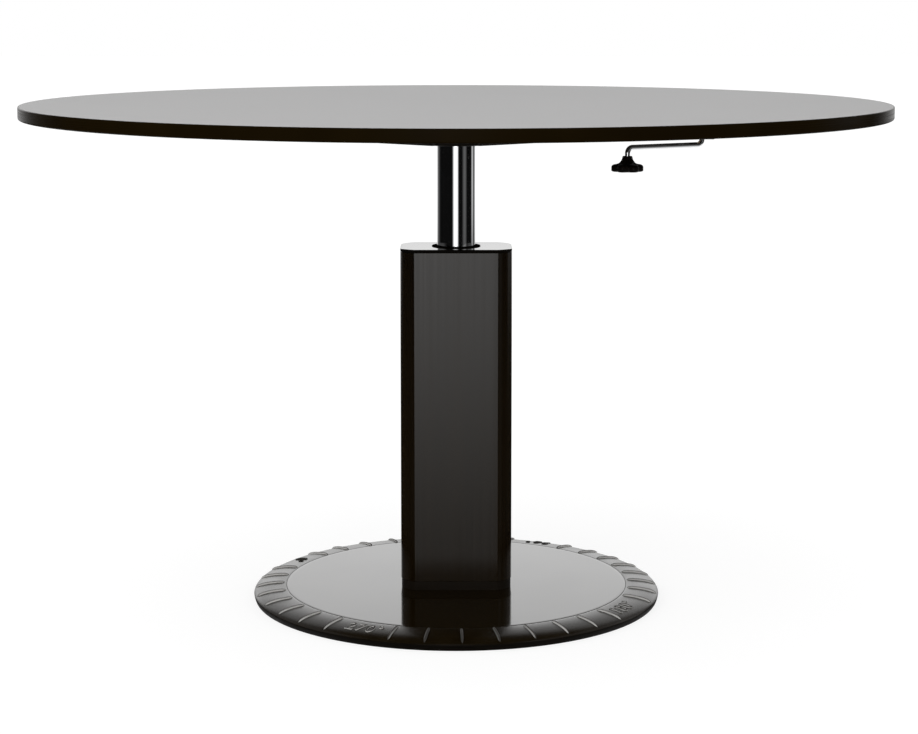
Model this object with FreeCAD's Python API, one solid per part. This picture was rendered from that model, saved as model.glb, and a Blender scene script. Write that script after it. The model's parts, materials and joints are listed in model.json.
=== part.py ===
import FreeCAD
import Part
import math
import os

V = FreeCAD.Vector
UP = V(0, 0, 1)
DOWN = V(0, 0, -1)
SIDES = (1, -1)
CORNERS = [(sx, sy) for sx in SIDES for sy in SIDES]
TINY = 1e-6

# ================================================================ driving dimensions (mm)
# ---- table top: height of its upper face over the floor, and its layers
top_height = 783.0
top_r = 670.0
core_t = 17.4
laminate_t = 0.8
band_t = 2.0
band_round_top = 1.5
band_round_bottom = 2.5
insert_r = 5.0
insert_length = 11.2

# ---- travel of the lift from its rest height
travel_up = 250.0
travel_down = 80.0

# ---- base plate and ring
plate_r = 269.5
plate_t = 12.0
plate_edge = 0.8
ring_gap = 0.5
ring_width = 51.0
ring_foot_in = 4.5
ring_foot_bulge = 0.8
ring_crown = 14.0
ring_lift = 1.5
ledge_t = 7.5
ledge_reach = 15.0
rib_height = 1.8
rib_root = 1.2
rib_width_deg = 0.7
rib_step_deg = 10.0
rib_first_deg = 1.6
rib_inset_in = 7.0
rib_inset_out = 2.5
number_places = 4
number_step_ribs = 3
glide_r = 8.0
glide_stem_r = 3.0
glide_stem_h = 5.5
glide_count = 8
glide_in_from_seam = 3.0
ring_screw_in_from_seam = 8.0

# ---- column
col_half_w = 87.0
col_side_half = 26.0
col_corner_r = 33.4
col_crease_deg = 20.0
col_wall = 3.0
col_height = 519.0
foot_plate_t = 14.0
foot_inset = 1.0
cap_t = 4.0
cap_groove = 1.0
cap_edge = 0.6
cap_plug_depth = 6.0
cap_peg_length = 8.0
channel_r = 6.0
channel_reach = 25.0
channel_deg = 40.0
guide_height = 45.0
guide_window = 28.0
guide_window_deep = 36.0
guide_roof = 8.0
filler_gap = 0.3

# ---- fasteners
m4_r = 2.0
m5_r = 2.5
m6_r = 3.0
hole_clearance = 0.2
thread_engagement = 0.05
head_r_ratio = 1.65
head_h_ratio = 1.6
foot_screw_grip = 24.0

# ---- lift tube, its bush and its shoe
tube_r = 30.0
tube_wall = 3.0
bush_wall = 3.0
bush_length = 64.0
bush_flange_reach = 5.0
bush_flange_t = 2.0
shoe_height = 20.0
shoe_seat = 4.0
shoe_lip = 4.0
shoe_gap = 0.4
shoe_screw_reach = 12.0
shoe_pocket = 24.0
shoe_pocket_wide = 32.0
shoe_pocket_deep = 6.0
shoe_pocket_in = 6.0
running_clearance = 0.1

# ---- lead screw, nut and nut pillar
screw_r = 10.0
screw_end_gap = 5.0
nut_length = 40.0
nut_flange_reach = 4.0
nut_flange_t = 8.0
pillar_r = 20.0
pillar_wall = 3.0
pillar_flange_reach = 14.0
pillar_flange_t = 8.0
pillar_screw_reach = 7.0
nut_pin_r = 2.5
nut_pin_in = 4.5

# ---- gear housing and arms
hub_r = 62.0
hub_wall = 5.0
hub_height = 41.0
hub_round = 3.0
cover_t = 4.0
collar_wall = 6.0
tube_seat = 10.0
socket_roof = 3.0
bearing_wall = 8.0
bearing_inset = 2.0
journal_r = 8.0
post_r = 8.0
post_in = 12.0
post_spread_deg = 30.0
set_screw_spread_deg = 70.0
arm_reach = 330.0
arm_width = 34.0
arm_wall = 4.0
arm_tip_depth = 22.0
arm_pad_length = 26.0
arm_solid_root = 28.0
arm_edge = 1.0
arm_names = ("front_right", "back_right", "back_left", "front_left")
arm_first_deg = 45.0
arm_bolt_inset = 0.5
arm_bolt_tip_gap = 1.5

# ---- mitre drive, crank and knob
shaft_drop = 19.0
shaft_r = 5.0
shaft_bush_r = 9.0
shaft_bush_flange_r = 11.0
shaft_bush_flange_t = 2.0
retaining_ring_t = 1.2
retaining_groove_r = 4.4
retaining_ring_r = 7.5
gear_teeth = 16
gear_module = 1.5
gear_face = 6.0
gear_hub_r = 9.0
gear_hub_length = 1.7
gear_gap = 0.3
crank_x = 383.0
crank_arm = 140.0
crank_turn_deg = 30.0
crank_drop = 47.0
rod_r = 4.0
rod_bend_r = 9.0
box_half = 20.0
box_wall = 4.0
box_round = 4.0
box_height = 37.0
box_chamfer = 3.0
ear_half_w = 11.0
ear_reach = 38.0
ear_hole_y = 30.0
ear_t = 6.0
knob_r = 24.5
knob_neck_r = 7.3
knob_edge_r = 2.0
knob_rim = 0.3
knob_lobe_top = 0.56
knob_height = 24.0
knob_drop = 12.0
knob_lobes = 6
knob_pocket_r = 8.0
knob_pocket_h = 3.5
retainer_r = 6.5

# ================================================================ derived dimensions
# ---- heights, from the floor up
ledge_top = ring_lift + ledge_t
plate_top = ledge_top + plate_t
foot_top = plate_top + foot_plate_t
shell_top = foot_top + col_height
cap_groove_top = shell_top + cap_groove
cap_top = cap_groove_top + cap_t
guide_top = shell_top - cap_plug_depth
guide_bottom = guide_top - guide_height

# ---- heights, from the table top down
top_under = top_height - core_t - 2 * laminate_t
core_bottom = top_under + laminate_t
core_top = top_height - laminate_t
insert_top = core_bottom + insert_length
screw_tip = insert_top - 1.0
hub_top = top_under - cover_t
hub_bottom = hub_top - hub_height
tube_top = hub_bottom + tube_seat
shaft_z = top_under - shaft_drop
pitch_r = gear_module * gear_teeth / 2.0
gear_back = pitch_r + gear_hub_length
bearing_bottom = hub_bottom + bearing_inset
bearing_top = shaft_z - gear_back - gear_gap
socket_top = bearing_top + socket_roof
box_bottom = top_under - box_height
crank_run_z = top_under - crank_drop
knob_top = crank_run_z - knob_drop
knob_bottom = knob_top - knob_height

# ---- heights that the travel sets
head_room = 7.0
shoe_bottom = foot_top + pillar_flange_t + head_room + travel_down
tube_bottom = shoe_bottom + shoe_seat
screw_bottom = foot_top + screw_end_gap + travel_down
nut_bottom = screw_bottom + travel_up + 2 * screw_end_gap
pillar_top = nut_bottom + nut_length

# ---- radii and places
core_r = top_r - band_t
seam_r = plate_r + ring_gap
ring_waist_r = seam_r + ring_width
ring_centre_r = seam_r - 1.0
ring_semi = ring_waist_r - ring_centre_r
ring_foot_r = ring_waist_r - ring_foot_in
ledge_r = seam_r - ledge_reach
bush_r = tube_r + bush_wall
pillar_bore_r = pillar_r - pillar_wall
collar_r = tube_r + collar_wall
bearing_bore_r = journal_r + running_clearance
bearing_r = bearing_bore_r + bearing_wall
post_circle_r = hub_r - post_in
shaft_setback = 0.75 * pitch_r
corner_x = col_half_w - col_corner_r
crease = math.radians(col_crease_deg)
col_front = col_side_half + col_corner_r * math.cos(crease)
channel_x = corner_x + channel_reach * math.cos(math.radians(channel_deg))
channel_y = col_side_half + channel_reach * math.sin(math.radians(channel_deg))
channel_at = [V(sx * channel_x, sy * channel_y, 0) for sx, sy in CORNERS]
cross_half_x = channel_x - 2 * channel_r
foot_extra_at = [V(0, sy * channel_y, 0) for sy in SIDES]
guide_screw_x = cross_half_x - guide_window / 2
guide_screw_y = channel_y - 0.7 * channel_r
guide_screw_at = [V(sx * guide_screw_x, sy * guide_screw_y, 0) for sx, sy in CORNERS]
pillar_screw_xy = (pillar_r + pillar_screw_reach) / math.sqrt(2)
pillar_screw_at = [V(sx * pillar_screw_xy, sy * pillar_screw_xy, 0) for sx, sy in CORNERS]


# ================================================================ helpers
def polar(r, deg, z=0.0):
    """Point at radius r, the angle measured from the front (-Y) towards +X."""
    a = math.radians(deg)
    return V(r * math.sin(a), -r * math.cos(a), z)


def disc(r, z0, z1, at=V(0, 0, 0)):
    return Part.makeCylinder(r, z1 - z0, V(at.x, at.y, z0), UP)


def discs(r, z0, z1, places):
    return Part.makeCompound([disc(r, z0, z1, p) for p in places])


def tube(r_out, r_in, z0, z1, at=V(0, 0, 0)):
    return disc(r_out, z0, z1, at).cut(disc(r_in, z0 - 1, z1 + 1, at))


def rod_x(r, x0, x1, z, y=0.0):
    return Part.makeCylinder(r, x1 - x0, V(x0, y, z), V(1, 0, 0))


def block(x0, x1, y0, y1, z0, z1):
    return Part.makeBox(x1 - x0, y1 - y0, z1 - z0, V(x0, y0, z0))


def polygon_face(points):
    return Part.Face(Part.makePolygon(points + points[:1]))


def revolved(face):
    return face.revolve(V(0, 0, 0), UP, 360)


def revolved_rz(points):
    """Turn a closed (r, z) polygon about the Z axis."""
    return revolved(polygon_face([V(r, 0, z) for r, z in points]))


def fused(first, others):
    return first.multiFuse(others).removeSplitter()


def circles_at(shape, z):
    """The closed round edges of a shape that lie at height z."""
    found = []
    for e in shape.Edges:
        level = abs(e.BoundBox.ZMin - z) < TINY and abs(e.BoundBox.ZMax - z) < TINY
        if level and len(e.Vertexes) == 1:
            found.append(e)
    return found


def edges_at(shape, z):
    return [e for e in shape.Edges if abs(e.BoundBox.ZMin - z) < TINY and abs(e.BoundBox.ZMax - z) < TINY]


def upright_edges(shape, length):
    return [e for e in shape.Edges if abs(e.BoundBox.ZLength - length) < TINY and e.BoundBox.XLength < TINY]


def save(name, shape):
    solids = shape.Solids
    out = solids[0] if len(solids) == 1 else Part.makeCompound(solids)
    out.exportStep("parts/" + name + ".step")


def countersink(r, at):
    """Cone for the head of a countersunk screw of shank radius r, opening downwards at its place."""
    return Part.makeCone(2.0 * r + hole_clearance, r, r + hole_clearance, at, UP)


def countersunk_screw(r, at, length):
    """Flat-headed screw pointing up, the face of its head at its place."""
    head = Part.makeCone(2.0 * r, r, r, at, UP)
    shank = Part.makeCylinder(r, length, at, UP)
    recess = Part.makeCylinder(0.55 * r, 0.9 * r, at, UP)
    return head.fuse(shank).cut(recess)


def cap_screw(r, at, direction, length):
    """Socket-headed screw, the underside of its head at its place."""
    d = V(direction).normalize()
    head_h = head_h_ratio * r
    head = Part.makeCylinder(head_r_ratio * r, head_h, at - d * head_h, d)
    shank = Part.makeCylinder(r, length, at, d)
    socket = Part.makeCylinder(0.8 * r, 0.6 * head_h, at - d * head_h, d)
    return head.fuse(shank).cut(socket)


# ================================================================ base plate and ring
ring_screw_deg = [(i + 0.5) * 360.0 / glide_count for i in range(glide_count)]
glide_deg = [i * 360.0 / glide_count for i in range(glide_count)]
ring_screw_at = [polar(seam_r - ring_screw_in_from_seam, deg) for deg in ring_screw_deg]
glide_at = [polar(seam_r - glide_in_from_seam, deg) for deg in glide_deg]
number_first_deg = rib_first_deg - number_step_ribs * rib_step_deg
number_deg = [number_first_deg + 360.0 / number_places * i for i in range(number_places)]


def crown_z(r):
    """Height of the ring's elliptical crown at radius r."""
    u = (r - ring_centre_r) / ring_semi
    return ledge_top + ring_crown * math.sqrt(max(0.0, 1 - u * u))


def crown_arc():
    """Elliptical arc of the ring's section, from the waist up to the seam."""
    centre = V(ring_centre_r, 0, ledge_top)
    ellipse = Part.Ellipse(centre + V(ring_semi, 0, 0), centre + UP * ring_crown, centre)
    return Part.ArcOfEllipse(ellipse, 0, math.acos((seam_r - ring_centre_r) / ring_semi)).toShape()


def rib_section():
    """Lens-shaped section of one rib, standing on the crown and sinking into it at both ends."""
    top = []
    foot = []
    r0 = seam_r + rib_inset_in
    r1 = ring_waist_r - rib_inset_out
    steps = 8
    for i in range(steps + 1):
        t = i / steps
        r = r0 + (r1 - r0) * t
        fade = abs(2 * t - 1) ** 6
        proud = rib_height * (1 - fade) - rib_root / 3 * fade
        a = math.acos((r - ring_centre_r) / ring_semi)
        normal = V(math.cos(a) / ring_semi, 0, math.sin(a) / ring_crown).normalize()
        on_crown = V(r, 0, crown_z(r))
        top.append(on_crown + normal * proud)
        foot.append(on_crown - normal * rib_root)
    curve = Part.BSplineCurve()
    curve.interpolate(top)
    edges = [curve.toShape(), Part.makeLine(top[-1], foot[-1])]
    edges += Part.makePolygon(foot[::-1]).Edges
    edges.append(Part.makeLine(foot[0], top[0]))
    return Part.Face(Part.Wire(edges))


def ribs():
    """Raised ribs at even steps; the places of the numbers stay smooth."""
    section = rib_section()
    made = []
    for k in range(int(360 / rib_step_deg)):
        deg = rib_first_deg + rib_step_deg * k
        if min(abs((deg - n + 180) % 360 - 180) for n in number_deg) < rib_width_deg:
            continue
        start = section.copy()
        start.rotate(V(0, 0, 0), UP, deg - 90.0 - rib_width_deg / 2)
        made.append(start.revolve(V(0, 0, 0), UP, rib_width_deg))
    return made


def base_ring():
    """Cast ring: a crowned top, a rounded skirt and a ledge that carries the plate."""
    waist = V(ring_waist_r, 0, ledge_top)
    foot = V(ring_foot_r, 0, ring_lift)
    bulge = (waist + foot) * 0.5 + V(2 * ring_foot_bulge, 0, -ring_foot_bulge)
    corners = [
        foot,
        V(ledge_r, 0, ring_lift),
        V(ledge_r, 0, ledge_top),
        V(seam_r, 0, ledge_top),
        V(seam_r, 0, crown_z(seam_r)),
    ]
    edges = [crown_arc(), Part.Arc(waist, bulge, foot).toShape()] + Part.makePolygon(corners).Edges
    ring = revolved(Part.Face(Part.Wire(Part.__sortEdges__(edges)))).multiFuse(ribs())
    tools = [discs(glide_stem_r, ring_lift - 1, ring_lift + glide_stem_h, glide_at)]
    tools.append(discs(m5_r + hole_clearance, ring_lift - 1, ledge_top + 1, ring_screw_at))
    for p in ring_screw_at:
        tools.append(countersink(m5_r, V(p.x, p.y, ring_lift)))
    save("base_ring", ring.cut(Part.makeCompound(tools)))


def base_plate():
    plate = disc(plate_r, ledge_top, plate_top)
    plate = plate.makeChamfer(plate_edge, circles_at(plate, plate_top))
    through = channel_at + foot_extra_at
    tools = [discs(m6_r + hole_clearance, ledge_top - 1, plate_top + 1, through)]
    for p in through:
        tools.append(countersink(m6_r, V(p.x, p.y, ledge_top)))
    tools.append(discs(m5_r, ledge_top - 1, ledge_top + 0.8 * plate_t, ring_screw_at))
    save("base_plate", plate.cut(Part.makeCompound(tools)))


def floor_glides():
    glides = []
    for p in glide_at:
        pad = disc(glide_r, 0, ring_lift, p)
        pad = pad.makeChamfer(0.4 * ring_lift, circles_at(pad, 0.0))
        glides.append(pad.fuse(disc(glide_stem_r, ring_lift, ring_lift + glide_stem_h, p)))
    save("floor_glides", Part.makeCompound(glides))


def ring_screws():
    length = ledge_t + 0.7 * plate_t
    screws = [countersunk_screw(m5_r, V(p.x, p.y, ring_lift), length) for p in ring_screw_at]
    save("ring_screws", Part.makeCompound(screws))


# ================================================================ column
def column_wire(inset, z):
    """The column's outline, moved inwards: flats joined by round corners that start at a crease."""
    r = col_corner_r - inset
    front = col_front - inset
    side = col_half_w - inset
    flat_x = corner_x + math.sqrt(r * r - (front - col_side_half) ** 2)
    mid = r / math.sqrt(2)
    corners = []
    for sx, sy in ((1, -1), (1, 1), (-1, 1), (-1, -1)):
        flat = V(sx * flat_x, sy * front, z)
        middle = V(sx * (corner_x + mid), sy * (col_side_half + mid), z)
        end = V(sx * side, sy * col_side_half, z)
        corners.append((flat, middle, end))
    a, b, c, d = corners
    edges = [
        Part.Arc(a[0], a[1], a[2]).toShape(),
        Part.makeLine(a[2], b[2]),
        Part.Arc(b[2], b[1], b[0]).toShape(),
        Part.makeLine(b[0], c[0]),
        Part.Arc(c[0], c[1], c[2]).toShape(),
        Part.makeLine(c[2], d[2]),
        Part.Arc(d[2], d[1], d[0]).toShape(),
        Part.makeLine(d[0], a[0]),
    ]
    return Part.Wire(edges)


def column_prism(inset, z0, z1):
    return Part.Face(column_wire(inset, z0)).extrude(V(0, 0, z1 - z0))


def cross_prism(gap, z0, z1):
    """Cross-shaped filler of the column's inside that leaves its screw channels free."""
    inner_side = col_half_w - col_wall - gap
    inner_front = col_front - col_wall - gap
    half_y = channel_y - 2.0 * channel_r - 2.0 * gap
    wide = block(-inner_side, inner_side, -min(half_y, col_side_half), min(half_y, col_side_half), z0, z1)
    deep = block(-cross_half_x, cross_half_x, -inner_front, inner_front, z0, z1)
    return wide.fuse(deep).removeSplitter()


def column_foot_plate():
    foot = column_prism(foot_inset, plate_top, foot_top)
    tools = [discs(m6_r + hole_clearance, plate_top - 1, foot_top + 1, channel_at)]
    tools.append(discs(m6_r, plate_top - 1, plate_top + 0.7 * foot_plate_t, foot_extra_at))
    tools.append(discs(m5_r, foot_top - 0.85 * foot_plate_t, foot_top + 1, pillar_screw_at))
    save("column_foot_plate", foot.cut(Part.makeCompound(tools)))


def foot_screws():
    screws = []
    long_screw = plate_t + foot_plate_t + foot_screw_grip
    for p in channel_at:
        screws.append(countersunk_screw(m6_r, V(p.x, p.y, ledge_top), long_screw))
    for p in foot_extra_at:
        screws.append(countersunk_screw(m6_r, V(p.x, p.y, ledge_top), plate_t + 0.6 * foot_plate_t))
    save("foot_screws", Part.makeCompound(screws))


def column_shell():
    wall = column_prism(0.0, foot_top, shell_top)
    wall = wall.cut(column_prism(col_wall, foot_top - 1, shell_top + 1))
    inside = column_prism(col_wall / 2, foot_top, shell_top)
    channels = [disc(channel_r, foot_top, shell_top, p).common(inside) for p in channel_at]
    wall = wall.multiFuse(channels)
    bores = discs(m6_r + thread_engagement, foot_top - 1, shell_top + 1, channel_at)
    save("column_shell", wall.cut(bores))


def column_cap_plate():
    cap = column_prism(0.0, cap_groove_top, cap_top)
    cap = cap.makeChamfer(cap_edge, edges_at(cap, cap_top))
    neck = column_prism(foot_inset, shell_top, cap_groove_top)
    plug = cross_prism(filler_gap, guide_top, shell_top)
    peg_bottom = guide_top - cap_peg_length
    pegs = discs(m6_r - running_clearance, peg_bottom, shell_top + cap_groove / 2, channel_at)
    cap = cap.multiFuse([neck, plug] + pegs.Solids)
    blind = discs(m5_r, guide_bottom, cap_top - cap_t / 2, guide_screw_at)
    save("column_cap_plate", cap.cut(disc(bush_r, guide_bottom, cap_top + 1)).cut(blind))


def guide_housing():
    guide = cross_prism(filler_gap, guide_bottom, guide_top)
    tools = [disc(bush_r + hole_clearance, guide_bottom - 1, guide_top + 1)]
    tools.append(discs(m5_r + hole_clearance, guide_bottom - 1, guide_top + 1, guide_screw_at))
    for sx in SIDES:
        mid = sx * cross_half_x
        half = guide_window / 2
        deep = guide_window_deep / 2
        tools.append(block(mid - half, mid + half, -deep, deep, guide_bottom - 1, guide_top - guide_roof))
    save("guide_housing", guide.cut(Part.makeCompound(tools)))


def guide_housing_screws():
    length = cap_top - cap_t * 0.7 - guide_bottom
    screws = [cap_screw(m5_r, V(p.x, p.y, guide_bottom), UP, length) for p in guide_screw_at]
    save("guide_housing_screws", Part.makeCompound(screws))


def guide_bush():
    flange_top = cap_top + bush_flange_t
    flange = disc(bush_r + bush_flange_reach, cap_top, flange_top)
    flange = flange.makeChamfer(cap_edge, circles_at(flange, flange_top))
    bush = disc(bush_r, cap_top - bush_length, cap_top).fuse(flange)
    bore = disc(tube_r + running_clearance, cap_top - bush_length - 1, flange_top + 1)
    save("guide_bush", bush.cut(bore))


# ================================================================ nut pillar and nut
def nut_pins(outer):
    z = pillar_top - nut_length / 2
    inner_end = pillar_bore_r - nut_pin_in
    return [rod_x(nut_pin_r, inner_end, outer, z), rod_x(nut_pin_r, -outer, -inner_end, z)]


def nut_pillar():
    column = tube(pillar_r, pillar_bore_r, foot_top, pillar_top)
    flange_top = foot_top + pillar_flange_t
    flange = tube(pillar_r + pillar_flange_reach, pillar_bore_r, foot_top, flange_top)
    flange = flange.cut(discs(m5_r + hole_clearance, foot_top - 1, flange_top + 1, pillar_screw_at))
    pillar = column.fuse(flange).removeSplitter()
    save("nut_pillar", pillar.cut(Part.makeCompound(nut_pins(2 * pillar_r))))


def pillar_screws():
    z = foot_top + pillar_flange_t
    length = pillar_flange_t + 0.8 * foot_plate_t
    screws = [cap_screw(m5_r, V(p.x, p.y, z), DOWN, length) for p in pillar_screw_at]
    save("pillar_screws", Part.makeCompound(screws))


def lead_nut():
    flange = disc(pillar_r + nut_flange_reach, pillar_top, pillar_top + nut_flange_t)
    body = disc(pillar_bore_r, nut_bottom, pillar_top).fuse(flange).removeSplitter()
    bore = disc(screw_r + running_clearance, nut_bottom - 1, pillar_top + 2 * nut_flange_t)
    save("lead_nut", body.cut(bore).cut(Part.makeCompound(nut_pins(2 * pillar_r))))


def nut_lock_pins():
    save("nut_lock_pins", Part.makeCompound(nut_pins(pillar_r)))


# ================================================================ lift tube and shoe
shoe_screw_z = shoe_bottom + 0.6 * shoe_height
shoe_screw_seat = tube_r + shoe_screw_reach


def shoe_screw_holes():
    return [Part.makeCylinder(m4_r, col_half_w, V(0, 0, shoe_screw_z), V(sx, 0, 0)) for sx in SIDES]


def lift_tube():
    body = tube(tube_r, tube_r - tube_wall, tube_bottom, tube_top)
    save("lift_tube", body.cut(Part.makeCompound(shoe_screw_holes())))


def lower_guide_shoe():
    shoe = cross_prism(shoe_gap, shoe_bottom, shoe_bottom + shoe_height)
    tools = [disc(tube_r, tube_bottom, tube_bottom + shoe_height)]
    tools.append(disc(tube_r - tube_wall - shoe_lip, shoe_bottom - 1, tube_bottom + 1))
    tools += shoe_screw_holes()
    head_r = head_r_ratio * m4_r + 3 * hole_clearance
    half = shoe_pocket / 2
    wide = shoe_pocket_wide / 2
    roof = shoe_bottom + shoe_pocket_deep
    for sx in SIDES:
        seat = V(sx * shoe_screw_seat, 0, shoe_screw_z)
        tools.append(Part.makeCylinder(head_r, col_half_w, seat, V(sx, 0, 0)))
        mid = sx * (col_half_w - col_wall - shoe_pocket_in - half)
        tools.append(block(mid - half, mid + half, -wide, wide, shoe_bottom - 1, roof))
    save("lower_guide_shoe", shoe.cut(Part.makeCompound(tools)))


def shoe_screws():
    length = shoe_screw_reach + tube_wall
    screws = []
    for sx in SIDES:
        screws.append(cap_screw(m4_r, V(sx * shoe_screw_seat, 0, shoe_screw_z), V(-sx, 0, 0), length))
    save("shoe_screws", Part.makeCompound(screws))


# ================================================================ gear housing
post_deg = [side * 90.0 + turn * post_spread_deg for side in SIDES for turn in SIDES]
post_at = [polar(post_circle_r, deg) for deg in post_deg]
arm_turn_deg = {name: arm_first_deg + 90.0 * i for i, name in enumerate(arm_names)}
post_seat = hub_bottom + 2 * m6_r
arm_bolt_z = (hub_bottom + 0.44 * hub_height, hub_bottom + 0.78 * hub_height)
arm_bolt_seat = hub_r - hub_wall + arm_bolt_inset
spot_r = head_r_ratio * m5_r + 3 * hole_clearance
well_r = head_r_ratio * m6_r + 3 * hole_clearance
set_screw_deg = [side * 90.0 + turn * set_screw_spread_deg for side in SIDES for turn in SIDES]
set_screw_z = hub_bottom + hub_wall + m4_r + hole_clearance


def radial(r, length, deg, start, z):
    """Round bar that runs outwards along a radius."""
    d = polar(1.0, deg)
    return Part.makeCylinder(r, length, d * start + V(0, 0, z), d)


def gear_housing():
    hub = disc(hub_r, hub_bottom, hub_top)
    hub = hub.makeFillet(hub_round, circles_at(hub, hub_bottom))
    hub = hub.cut(disc(hub_r - hub_wall, hub_bottom + hub_wall, hub_top + 1))
    posts = [disc(post_r, hub_bottom + hub_wall / 2, hub_top, p) for p in post_at]
    boss = rod_x(shaft_bush_flange_r + 2, hub_r - 3.5 * hub_wall, hub_r - hub_wall / 2, shaft_z)
    collar = disc(collar_r, hub_bottom, socket_top)
    hub = hub.multiFuse([collar, boss] + posts)
    socket = disc(tube_r, hub_bottom - 1, tube_top).cut(disc(tube_r - tube_wall, bearing_bottom, socket_top))
    tools = [socket, disc(bearing_r, hub_bottom - 1, socket_top + 1)]
    tools.append(disc(bearing_r + 1.5 * hub_wall, bearing_top, socket_top + 1))
    tools.append(rod_x(shaft_bush_r, hub_r - 4 * hub_wall, hub_r + hub_wall, shaft_z))
    tools.append(discs(m6_r + hole_clearance, hub_bottom - 1, hub_top + 1, post_at))
    tools.append(discs(well_r, hub_bottom - 1, post_seat, post_at))
    for deg in arm_turn_deg.values():
        for z in arm_bolt_z:
            tools.append(radial(m5_r + hole_clearance, 2 * hub_wall, deg, arm_bolt_seat - 1, z))
            tools.append(radial(spot_r, 2 * hub_wall, deg, arm_bolt_seat - 2 * hub_wall, z))
    for deg in set_screw_deg:
        tools.append(radial(m4_r, collar_wall + 1, deg, tube_r, set_screw_z))
    save("gear_housing", hub.cut(Part.makeCompound(tools)))


def hub_set_screws():
    length = collar_wall - hole_clearance
    screws = [radial(m4_r, length, deg, tube_r, set_screw_z) for deg in set_screw_deg]
    save("hub_set_screws", Part.makeCompound(screws))


def gear_housing_cover():
    cover = disc(hub_r, hub_top, top_under)
    save("gear_housing_cover", cover.cut(discs(m6_r + hole_clearance, hub_top - 1, top_under + 1, post_at)))


def gear_housing_screws():
    screws = [cap_screw(m6_r, V(p.x, p.y, post_seat), UP, screw_tip - post_seat) for p in post_at]
    save("gear_housing_screws", Part.makeCompound(screws))


def screw_thrust_bearing():
    save("screw_thrust_bearing", tube(bearing_r, bearing_bore_r, bearing_bottom, bearing_top))


# ================================================================ arms
arm_root = hub_r - hub_wall
arm_slope_start = hub_r + 1.5 * arm_wall
arm_tip_z = top_under - arm_tip_depth
arm_foot_z = hub_bottom + hub_round / 6
arm_screw_s = arm_reach - arm_pad_length / 2
arm_screw_seat = top_under - 0.64 * arm_tip_depth
arm_screw_at = [polar(arm_screw_s, deg) for deg in arm_turn_deg.values()]
arm_bolt_length = arm_solid_root - arm_bolt_tip_gap


def arm_low_z(s):
    """Height of an arm's underside at distance s from the axis."""
    t = (s - arm_slope_start) / (arm_reach - arm_slope_start)
    return arm_foot_z + (arm_tip_z - arm_foot_z) * max(0.0, t)


def slab(profile, width):
    """Prism of an (s, z) outline, s along +X, centred across Y."""
    face = polygon_face([V(s, -width / 2, z) for s, z in profile])
    return face.extrude(V(0, width, 0))


def arm():
    """One tapered channel along +X, open at its top, with solid pads at both ends."""
    outline = [(arm_root, arm_foot_z), (arm_slope_start, arm_foot_z), (arm_reach, arm_tip_z)]
    outline += [(arm_reach, top_under), (arm_root, top_under)]
    body = slab(outline, arm_width)
    long_low = []
    for e in body.Edges:
        if e.Length > arm_reach / 2 and e.BoundBox.ZMax < top_under - arm_wall:
            long_low.append(e)
    body = body.makeChamfer(arm_edge, long_low)
    s0 = hub_r + arm_solid_root
    s1 = arm_reach - arm_pad_length
    pocket = [(s0, arm_low_z(s0) + arm_wall), (s1, arm_low_z(s1) + arm_wall)]
    pocket += [(s1, top_under + 1), (s0, top_under + 1)]
    tools = [slab(pocket, arm_width - 2 * arm_wall)]
    tools.append(disc(hub_r, hub_bottom - 1, top_under + 1))
    place = V(arm_screw_s, 0, 0)
    tools.append(disc(m6_r + hole_clearance, arm_tip_z - 2 * arm_wall, top_under + 1, place))
    tools.append(disc(well_r, arm_tip_z - 2 * arm_wall, arm_screw_seat, place))
    for z in arm_bolt_z:
        tools.append(rod_x(m5_r, arm_root, arm_bolt_seat + arm_bolt_length + 1, z))
    return body.cut(Part.makeCompound(tools))


def arms():
    for name, deg in arm_turn_deg.items():
        turned = arm()
        turned.rotate(V(0, 0, 0), UP, deg - 90.0)
        save("arm_" + name, turned)


def arm_hub_screws():
    screws = []
    for deg in arm_turn_deg.values():
        d = polar(1.0, deg)
        for z in arm_bolt_z:
            screws.append(cap_screw(m5_r, d * arm_bolt_seat + V(0, 0, z), d, arm_bolt_length))
    save("arm_hub_screws", Part.makeCompound(screws))


def arm_top_screws():
    length = screw_tip - arm_screw_seat
    screws = [cap_screw(m6_r, V(p.x, p.y, arm_screw_seat), UP, length) for p in arm_screw_at]
    save("arm_top_screws", Part.makeCompound(screws))


# ================================================================ crank gear housing and bushes
crank_at = V(crank_x, 0, 0)
ear_at = [V(crank_x, sy * ear_hole_y, 0) for sy in SIDES]
ear_bottom = top_under - ear_t
box_floor = shaft_z - gear_back - 3 * gear_gap


def crank_gear_housing():
    body = block(crank_x - box_half, crank_x + box_half, -box_half, box_half, box_bottom, top_under)
    body = body.makeFillet(box_round, upright_edges(body, box_height))
    body = body.makeChamfer(box_chamfer, edges_at(body, box_bottom))
    ears = block(crank_x - ear_half_w, crank_x + ear_half_w, -ear_reach, ear_reach, ear_bottom, top_under)
    ears = ears.makeFillet(box_round, upright_edges(ears, ear_t))
    body = body.fuse(ears).removeSplitter()
    inner = box_half - box_wall
    tools = [block(crank_x - inner, crank_x + inner, -inner, inner, box_floor, top_under + 1)]
    tools.append(disc(2 * rod_r, box_bottom - 1, box_floor + 1, crank_at))
    tools.append(rod_x(shaft_bush_r, crank_x - box_half - 1, crank_x - inner + 1, shaft_z))
    tools.append(discs(m6_r + hole_clearance, ear_bottom - 1, top_under + 1, ear_at))
    save("crank_gear_housing", body.cut(Part.makeCompound(tools)))


def crank_housing_screws():
    screws = [cap_screw(m6_r, V(p.x, p.y, ear_bottom), UP, screw_tip - ear_bottom) for p in ear_at]
    save("crank_housing_screws", Part.makeCompound(screws))


def crank_bush():
    save("crank_bush", tube(2 * rod_r, rod_r + running_clearance, box_bottom, box_floor, crank_at))


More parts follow.
